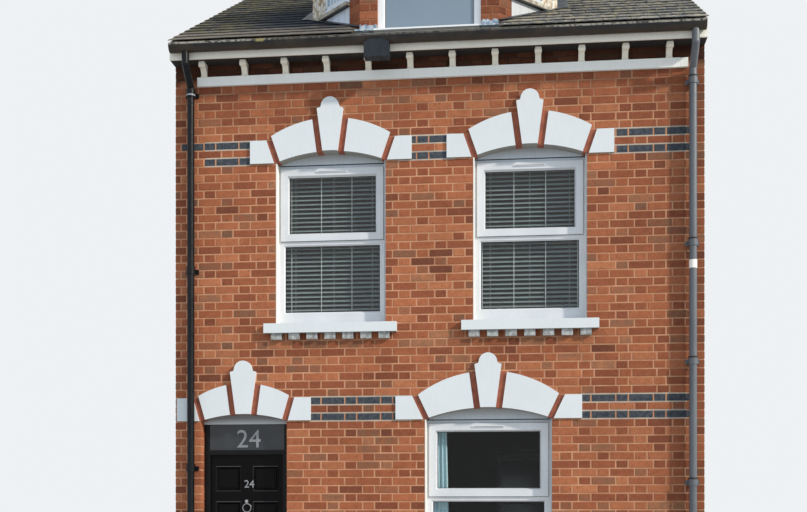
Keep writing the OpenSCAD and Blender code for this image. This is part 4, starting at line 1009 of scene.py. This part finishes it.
def window_trim(kit, x, spring, sill, half, side=1):
    """Beads, gaskets, a dark ring round the sash that is painted shadow in its gap, and the vent."""
    w = half - 0.056
    low, high = spring - 0.69, spring - 0.058
    sash = (x - w - 0.025, x + w + 0.025, low - 0.025, high + 0.025)
    glazing(kit, grown(sash, -0.065), -3.718, -3.68, side)
    glazing(kit, (x - w, x + w, sill + 0.113, low - 0.06), -3.7, -3.68, side)
    # A dark ring round the sash: painted shadow in the gap between sash and frame
    rect_ring(kit, grown(sash, 0.004), sash, side * -3.7005, side * -3.7005, 1)
    z = high - 0.0075
    for reach, front, back, z0, z1, edge, kind in (
            (0.15, -3.726, -3.718, z - 0.009, z + 0.009, 0.002, 0),
            (0.135, -3.7262, -3.72, z - 0.0025, z + 0.0015, 0, 1),
            (half - 0.004, -3.7262, -3.7, sill + 0.001, sill + 0.022, 0.004, 0),
            (half - 0.003, -3.7035, -3.698, spring - 0.004, spring + 0.004, 0, 1)):
        y0, y1 = sorted((side * front, side * back))
        kit.box((x - reach, y0, z0), (x + reach, y1, z1), edge, kind=kind)


front_trim = Pieces()
for x in UPPER_X:
    window_trim(front_trim, x, UPPER_SPRING, UPPER_SILL, UPPER_HALF)
window_trim(front_trim, GROUND_X, GROUND_SPRING, GROUND_SILL, GROUND_HALF)
for z0, z1 in ((6.1014, 6.7994), (6.8594, 7.1434)):
    glazing(front_trim, (BAY_X - 0.429, BAY_X + 0.429, z0, z1), -3.69, -3.67)
front_trim.make("window_beads", "white_frame", "white_frame", "gasket")
rear_trim = Pieces()
for x in REAR_X:
    window_trim(rear_trim, x, UPPER_SPRING, UPPER_SILL, UPPER_HALF, -1)
    window_trim(rear_trim, x, GROUND_SPRING, GROUND_SILL, UPPER_HALF, -1)
rear_trim.make("rear_window_beads", "white_frame", "white_frame", "gasket")


def hang_curtain(folds=5, steps=60, levels=24):
    """A narrow gathered sheet that hangs from its rail."""
    low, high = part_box("curtain")
    grid = []
    for k, i in product(range(levels + 1), range(steps + 1)):
        t, s = k / levels, i / steps
        wide = high.x - low.x + 0.042 + 0.03 * t
        x = low.x + 0.004 + wide * s + 0.003 * math.sin(9 * t + 5 * s) * t * s
        wave = (0.011 + 0.004 * t) * math.sin(2 * math.pi * folds * s + 0.5 * math.sin(3 * t))
        grid.append(Vector((x, (low.y + high.y) / 2 + wave, high.z + (low.z - high.z) * t)))
    row = steps + 1
    starts = [k * row + i for k in range(levels) for i in range(steps)]
    cloth = Pieces()
    cloth.add(grid, [(a, a + 1, a + row + 1, a + row) for a in starts])
    curtain = cloth.make("curtain_cloth", "curtain_cloth", "curtain", replaces=["curtain"], smooth=True)


hang_curtain()

# Door
dress("door_frame", "door_frame", edge=0.003)
dress("door_leaf", "black", edge=0.002)
dress("door_furniture", "steel", edge=0.0015)
# Fanlight in opaque dark paint, as painted shade of the space behind
dress("fanlight", "fan_pane")
dress("door_hinge_pins", "hinge")
dress("door_hinge_knuckles", "hinge")
# Door mouldings, with a painted highlight on the outer bevels
mouldings = Pieces()
for across, up in product(((-2.093, -1.866), (-1.73, -1.503)),
                          ((0.4002, 0.8302), (1.0302, 1.6502), (1.7682, 1.9872))):
    bevel, flat, inner, panel = (grown((*across, *up), by) for by in (0.011, 0.004, -0.002, -0.014))
    rect_ring(mouldings, bevel, flat, -3.67, -3.674, 1)
    # The bevel's right-hand side gets no painted highlight
    mouldings.kinds[-3] = 0
    rect_ring(mouldings, flat, inner, -3.674, -3.673)
    rect_ring(mouldings, inner, panel, -3.673, -3.6585)
mouldings.make("door_mouldings", "black_paint", "black", "moulding_highlight", body="door")


def numerals(name, x, z, height, y, body, key):
    """The plain generic number 24, x to its middle and z at its foot."""
    depth = 0.003
    curve = bpy.data.curves.new(name, "FONT")
    curve.body = "24"
    curve.size = height / 0.7
    curve.align_x = "CENTER"
    curve.extrude = depth / 2
    curve.bevel_depth = depth / 6
    shape = bpy.data.objects.new(name + "_line", curve)
    bpy.context.scene.collection.objects.link(shape)
    bpy.context.view_layer.update()
    mesh = bpy.data.meshes.new_from_object(shape.evaluated_get(bpy.context.evaluated_depsgraph_get()))
    bpy.data.objects.remove(shape)
    mesh.transform(Matrix.Translation((x, y, z)) @ Matrix.Rotation(math.radians(90), 4, "X"))
    mesh.name = name
    paint(mesh, [key])
    add_piece(name, mesh, "door_metal", body)


numerals("door_numerals", -1.775, 1.792, 0.072, -3.6715, "door", "steel")
numerals("fanlight_numerals", -1.78, 2.175, 0.17, -3.6755, "house", "numeral")

# Eaves
# The boards' undersides take the dark soffit paint, as painted shade
dress("eaves_boards", "board", "soffit", edge=0.004, second=lambda face: face.center.z > SOFFIT - 0.001)
dress("eaves_brackets", "cream", edge=0.003)
# The fascia takes the paler cream, as painted light
dress("eaves_fascias", "fascia", edge=0.004)
dress("gutters", "gutter_iron")
dress("gutter_box", "box", edge=0.006)
dress("downpipe_left", "black_iron")
dress("downpipe_right", "grey_iron")
rolls = Pieces()
for i in range(12):
    x = -2.172 + 0.392 * i
    for radius, width, sides in ((0.024, 0.06, 18), (0.014, 0.066, 14)):
        rolls.ring((x, FRONT - 0.096, SOFFIT - 0.025), (1, 0, 0), 0.002, radius, width, sides)
    rolls.box((x - 0.031, FRONT - 0.036, BOARD_LOW + 0.085), (x + 0.031, FRONT, BOARD_LOW + 0.097), 0.003)
# The eaves board runs on to the right-hand pipe
rolls.box((BOARD_END, FRONT - 0.03, BOARD_LOW), (BOARD_END + 0.07, FRONT, BOARD_LOW + 0.085), 0.003, kind=1)
rolls.make("bracket_rolls", "cream_paint", "cream", "board")


def gutter_bands():
    """Joint bands under both gutters."""
    kit = Pieces()
    bend = [math.pi + math.pi * i / 12 for i in range(13)]
    outline = [(-4.035 + r * math.cos(a), 5.8814 + r * math.sin(a))
               for r, angles in ((0.0565, bend), (0.053, bend[::-1])) for a in angles]
    outline = [(-4.0915, 5.9), *outline, (-4.088, 5.9)]
    for side, places in ((-1, (-1.62, -0.2, 1.32)), (1, (-1.4, 0.1, 1.5))):
        for x in places:
            kit.sweep([(side * -y, z) for y, z in outline], x - 0.02, x + 0.02)
    kit.make("gutter_bands", "gutter_iron", "gutter_iron")


def pipe_bands():
    """Joints of the rainwater pipes and a painted band on each."""
    kit = Pieces()
    for x, heights, out, length, kind in ((LEFT_PIPE_X, (5.534, 3.866, 2.005), 0.0085, 0.012, 0),
                                          (PIPE_X, (5.48, 4.021, 2.953, 1.861), 0.0085, 0.014, 1),
                                          (PIPE_X, (3.791,), 0.002, 0.075, 2),
                                          (LEFT_PIPE_X, (5.487,), 0.0095, 0.014, 3)):
        for z in heights:
            kit.ring((x, PIPE_Y, z), (0, 0, 1), PIPE_R, PIPE_R + out, length, 28, kind=kind)
    kit.make("pipe_bands", "grey_iron", "black_iron", "gasket", "lining", "lining_shade")


gutter_bands()
pipe_bands()


# Roof

def slate_field(kit, origin, along, up, total, spans, width=0.25, gauge=0.2, length=0.46):
    """Courses of lapped slates on a sloping plane; spans(s) gives the covered stretches at s up the slope."""
    origin, along, up = Vector(origin), Vector(along).normalized(), Vector(up).normalized()
    normal = along.cross(up)
    if normal.z < 0:
        normal.negate()
    for row in range(int(total / gauge) + 1):
        s0 = row * gauge
        s1 = min(s0 + length, total)
        if s1 - s0 < 0.03:
            continue
        tails, heads = spans(s0 + 0.001), spans(s1 - 0.001)
        if len(heads) != len(tails):
            heads = tails
        for (ta, tb), (ha, hb) in zip(tails, heads):
            u = math.floor(min(ta, ha) / width) * width - (width / 2 if row % 2 else 0)
            while u < max(tb, hb):
                a, b = u + SLIP + rng.uniform(0, SLIP), u + width - SLIP - rng.uniform(0, SLIP)
                u += width
                tail = [min(max(v, ta), tb) for v in (a, b)]
                head = [min(max(v, ha), hb) for v in (a, b)]
                if tail[1] - tail[0] < 0.015:
                    continue
                slip = rng.uniform(-0.003, 0.005)
                lift = 0.0195 + rng.uniform(0, 0.0015)
                rock = rng.uniform(-0.0008, 0.0008)
                corners = [(tail[0], s0 + slip + rock, lift), (tail[1], s0 + slip - rock, lift),
                           (head[1], s1, 0.001), (head[0], s1, 0.001)]
                points = [origin + along * p + up * max(q, 0) + normal * r for p, q, r in corners]
                points += [p + normal * 0.006 for p in points]
                tone = (rng.random(), rng.random())
                # The top face carries 0 as its third tone number and the edges 1, which the finish darkens as
                # painted shade
                kit.add(points, [(4, 5, 6, 7)], (*tone, 0.0))
                kit.add(points, [(0, 1, 5, 4), (1, 2, 6, 5), (3, 0, 4, 7), (2, 3, 7, 6)], (*tone, 1.0))


def front_spans(s):
    """What slates cover at s up the front slope, beside the bay and the chimney stack."""
    y = s * COS_PITCH - SLATE_EDGE
    v = y - BAY_Y
    right = (STACK_X if y > -STACK_HALF else HALF_W) + HALF_W
    if v > BAY_END:
        return [(0, right)]
    half = BAY_HALF + min(max(v, 0), BAY_CANT)
    return [(0, BAY_X - half + HALF_W), (BAY_X + half + HALF_W, right)]


def rear_spans(s):
    """What slates cover at s up the rear slope, beside the chimney stack."""
    return [(HALF_W - STACK_X if SLATE_EDGE - s * COS_PITCH < STACK_HALF else 0, 2 * HALF_W)]


def polygon_spans(points):
    """spans for a convex outline given as (u, s) points."""
    def at(s):
        hits = []
        for (u0, s0), (u1, s1) in zip(points, points[1:] + points[:1]):
            if (s0 - s) * (s1 - s) < 0:
                hits.append(u0 + (u1 - u0) * (s - s0) / (s1 - s0))
        return [(min(hits), max(hits))] if len(hits) > 1 else []
    return at


main_slates = Pieces()
for way, spans in ((1, front_spans), (-1, rear_spans)):
    slate_field(main_slates, (-way * HALF_W, -way * SLATE_EDGE, deck_top(SLATE_EDGE)), (way, 0, 0),
                (0, way * COS_PITCH, SIN_PITCH), SLATE_EDGE / COS_PITCH, spans)
main_slates.make("slates", "roof_slate", "slate", replaces=["roof_slates"])


def roof_face(kit, *corners):
    """Small slates on a plane whose first two corners are its eaves, as 3D points."""
    corners = [Vector(c) for c in corners]
    along = (corners[1] - corners[0]).normalized()
    normal = along.cross(corners[2] - corners[0]).normalized()
    if normal.z < 0:
        normal.negate()
    up = normal.cross(along)
    if up.z < 0:
        up.negate()
    flat = [((c - corners[0]).dot(along), (c - corners[0]).dot(up)) for c in corners]
    slate_field(kit, corners[0], along, up, max(s for u, s in flat), polygon_spans(flat), 0.2, 0.16, 0.36)


def at_bay(u, v, z):
    """A point at u beside the bay's middle, v behind its front and z up."""
    return BAY_X + u, BAY_Y + v, z


apex = at_bay(0, 1.325, BAY_RIDGE)
ridge_end = at_bay(0, (BAY_RIDGE - BAY_FOOT) / math.tan(PITCH), BAY_RIDGE)
bay_slates = Pieces()
roof_face(bay_slates, at_bay(-0.7047, -0.12, BAY_HIPS), at_bay(0.7047, -0.12, BAY_HIPS), apex)
for side in (-1, 1):
    corner = at_bay(side * 1.325, 0.5003, BAY_HIPS)
    roof_face(bay_slates, at_bay(side * 0.7047, -0.12, BAY_HIPS), corner, apex)
    back = at_bay(side * 1.325, (BAY_HIPS - BAY_FOOT) / math.tan(PITCH), BAY_HIPS)
    roof_face(bay_slates, corner, back, ridge_end, apex)
bay_slates.make("bay_slates", "roof_slate", "bay_slate")


# Leads

def tube(kit, p, q, r):
    """A round roll of lead from p to q."""
    p, q = Vector(p), Vector(q)
    kit.ring((p + q) / 2, (q - p).normalized(), 0.001, r, (q - p).length, 12)


def flash(kit, side, outline, lift=0.002):
    """A lead sheet laid on the front slates, over an outline in plan beside the bay."""
    plan = [(BAY_X + side * u, BAY_Y + v) for u, v in outline]
    points = [(x, y, deck_top(y) + (0.028 + h) / COS_PITCH) for h in (lift, lift + 0.003) for x, y in plan]
    n = len(outline)
    sides = [(i, (i + 1) % n, n + (i + 1) % n, n + i) for i in range(n)]
    kit.add(points, [tuple(range(n)), tuple(range(n, 2 * n))] + sides, kind=1)


def bay_leads(kit, side):
    """Sheets along one side of the bay's foot, and the ragged strips of its apron."""
    flash(kit, side, [(0.655, 0), (1.205, 0.55), (1.25, 0.53), (0.69, -0.03), (0.655, -0.03)])
    for i in range(8):
        v = 0.55 + i * 0.1613
        flash(kit, side, [(1.205, v), (1.205, v + 0.158), (1.315, v + 0.15), (1.315, v - 0.008)],
              0.002 + 0.001 * (i % 2))
    for i in range(12):
        x0, x1 = sorted(BAY_X + side * (0.487 + 0.0138 * i + wide) for wide in (0, 0.0145))
        top = 6.136 + rng.uniform(-0.012, 0.008)
        kit.box((x0, BAY_Y - 0.006 - rng.uniform(0, 0.003), 6.045), (x1, BAY_Y - 0.001, top))


def stack_leads(kit, side):
    """Stepped lead up one half of the chimney stack's side, and the sheet across its face."""
    for i in range(4):
        y0, y1 = sorted(side * (STACK_HALF - j * 0.115) for j in (i, i + 1))
        base = min(deck_top(y0), deck_top(y1))
        kit.box((2.228, y0, base), (2.2345, y1, base + 0.2))
    y0, y1 = sorted((side * STACK_HALF, side * (STACK_HALF + 0.007)))
    foot = deck_top(STACK_HALF)
    kit.box((2.2, y0, foot - 0.02), (2.459, y1, foot + 0.17))


leads = Pieces()
lifted = at_bay(0, 1.325, BAY_RIDGE + 0.012)
for side in (-1, 1):
    for u, v in ((0.7047, -0.12), (1.325, 0.5003)):
        tube(leads, at_bay(side * u, v, BAY_HIPS + 0.014), lifted, 0.028)
tube(leads, lifted, (*ridge_end[:2], BAY_RIDGE + 0.012), 0.034)
for side in (-1, 1):
    bay_leads(leads, side)
for side in (-1, 1):
    stack_leads(leads, side)
leads.make("lead_flashings", "lead", "lead", "dark_lead")

# Ridge and chimney pots
dress("ridge_tiles", "ridge", edge=0.004)
joints = Pieces()
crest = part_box("ridge_tiles")[1].z - 0.0005
for i, side in product(range(1, 11), (-1, 1)):
    x = 0.427 * i - HALF_W
    y, z = COS_PITCH * 0.162 - 0.004, crest - SIN_PITCH * 0.162
    outline = [(-0.004, crest), (y, z), (y + 0.002, z + 0.0045), (-0.004, crest + 0.0045)]
    joints.sweep([(side * p, q) for p, q in outline], x - 0.012, x + 0.012)
joints.make("ridge_joints", "ridge_clay", "mortar")
dress("chimney_pots", "pot")
bedding = Pieces()
stack_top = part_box("chimney_stack")[1].z
for side in (-1, 1):
    for rise, radius, height in ((0.02, 0.1, 0.04), (0.008, 0.102, 0.016)):
        bedding.ring((2.357, side * 0.23, stack_top + rise), (0, 0, 1), 0.09, radius, height, 28)
bedding.make("pot_bedding", "pot_clay", "mortar")


# Bay

def pier_back(point):
    """A point of the piers, with their fronts and slanting ends set back behind the bricks."""
    side = -1 if point.x < BAY_X else 1
    u, v = (point.x - BAY_X) * side, point.y - BAY_Y
    if abs(v) < 0.001:
        v = POINTING
        if abs(u - BAY_HALF) < 0.001:
            u -= POINTING * math.tan(math.radians(22.5))
    elif abs(u - 0.77) < 0.001 and abs(v - 0.115) < 0.001:
        u -= POINTING * SLANT
        v += POINTING * SLANT
    return BAY_X + side * u, BAY_Y + v, point.z


def cant_box(kit, side, a0, a1, n0, n1, z0, z1, kind=0):
    """A block by its stretch along the bay's slanting side, its depth and its height."""
    points = [at_bay(side * (BAY_HALF + 0.115 + (a - n) * SLANT), 0.115 + (a + n) * SLANT, z)
              for z in (z0, z1) for a, n in ((a0, n0), (a1, n0), (a1, n1), (a0, n1))]
    kit.add(points, [(0, 1, 2, 3), (4, 5, 6, 7), (0, 1, 5, 4), (1, 2, 6, 5), (2, 3, 7, 6), (3, 0, 4, 7)],
            kind=kind)


dress("bay_sides", "bay_sides", edge=0.004)
dress("bay_roof", "bay_roof")
dress("bay_apron", "apron", edge=0.004)
replica("bay_piers", "bay_piers_core", "front_brick", ["pier_mortar"], pier_back)
bay_trim = Pieces()
low, high, near, far = 6.4634, 7.1394, 0.07, 0.405
for side in (-1, 1):
    for a0, a1, z0, z1 in ((near, far, low, low + 0.03), (near, far, high - 0.03, high),
                           (near, near + 0.03, low, high), (far - 0.03, far, low, high)):
        cant_box(bay_trim, side, a0, a1, 0.006, 0.019, z0, z1)
    for a in (0.47, 0.54):
        cant_box(bay_trim, side, a, a + 0.004, -0.0015, 0.0, 6.4134, BAY_HEAD - 0.005, 1)
bay_trim.make("bay_side_trim", "weathered_white", "white_frame", "gasket")

# Ground, background and light
ground = bpy.data.meshes.new("floor")
ground.from_pydata([(-60, -60, 0), (60, -60, 0), (60, 60, 0), (-60, 60, 0)], [], [(0, 1, 2, 3)])
ground.materials.append(MAT["floor"])
floor = bpy.data.objects.new("floor", ground)
bpy.context.scene.collection.objects.link(floor)

world = bpy.data.worlds.new("studio")
bpy.context.scene.world = world
world.use_nodes = True
tree = world.node_tree
sky = tree.nodes["Background"]
sky.inputs["Color"].default_value = (0.60, 0.69, 0.80, 1.0)
seen = tree.nodes.new("ShaderNodeBackground")
seen.inputs["Color"].default_value = (0.86, 0.88, 0.90, 1.0)
rays = tree.nodes.new("ShaderNodeLightPath")
both = tree.nodes.new("ShaderNodeMixShader")
pale = rays.outputs["Is Camera Ray"]
for kind in ("Is Glossy Ray", "Is Transmission Ray"):
    most = tree.nodes.new("ShaderNodeMath")
    most.operation = "MAXIMUM"
    tree.links.new(pale, most.inputs[0])
    tree.links.new(rays.outputs[kind], most.inputs[1])
    pale = most.outputs[0]
for source, socket in zip((pale, sky.outputs[0], seen.outputs[0]), both.inputs):
    tree.links.new(source, socket)
tree.links.new(both.outputs[0], tree.nodes["World Output"].inputs["Surface"])

sun = bpy.data.objects.new("sun", bpy.data.lights.new("sun", "SUN"))
bpy.context.scene.collection.objects.link(sun)
sun.data.energy = 3.3
sun.data.angle = math.radians(3)
sun.data.color = (1.0, 0.93, 0.82)
sun.rotation_euler = Vector((0.773, -0.387, 0.503)).to_track_quat("Z", "Y").to_euler()
bpy.context.scene.view_settings.view_transform = "Standard"

bpy.context.view_layer.update()
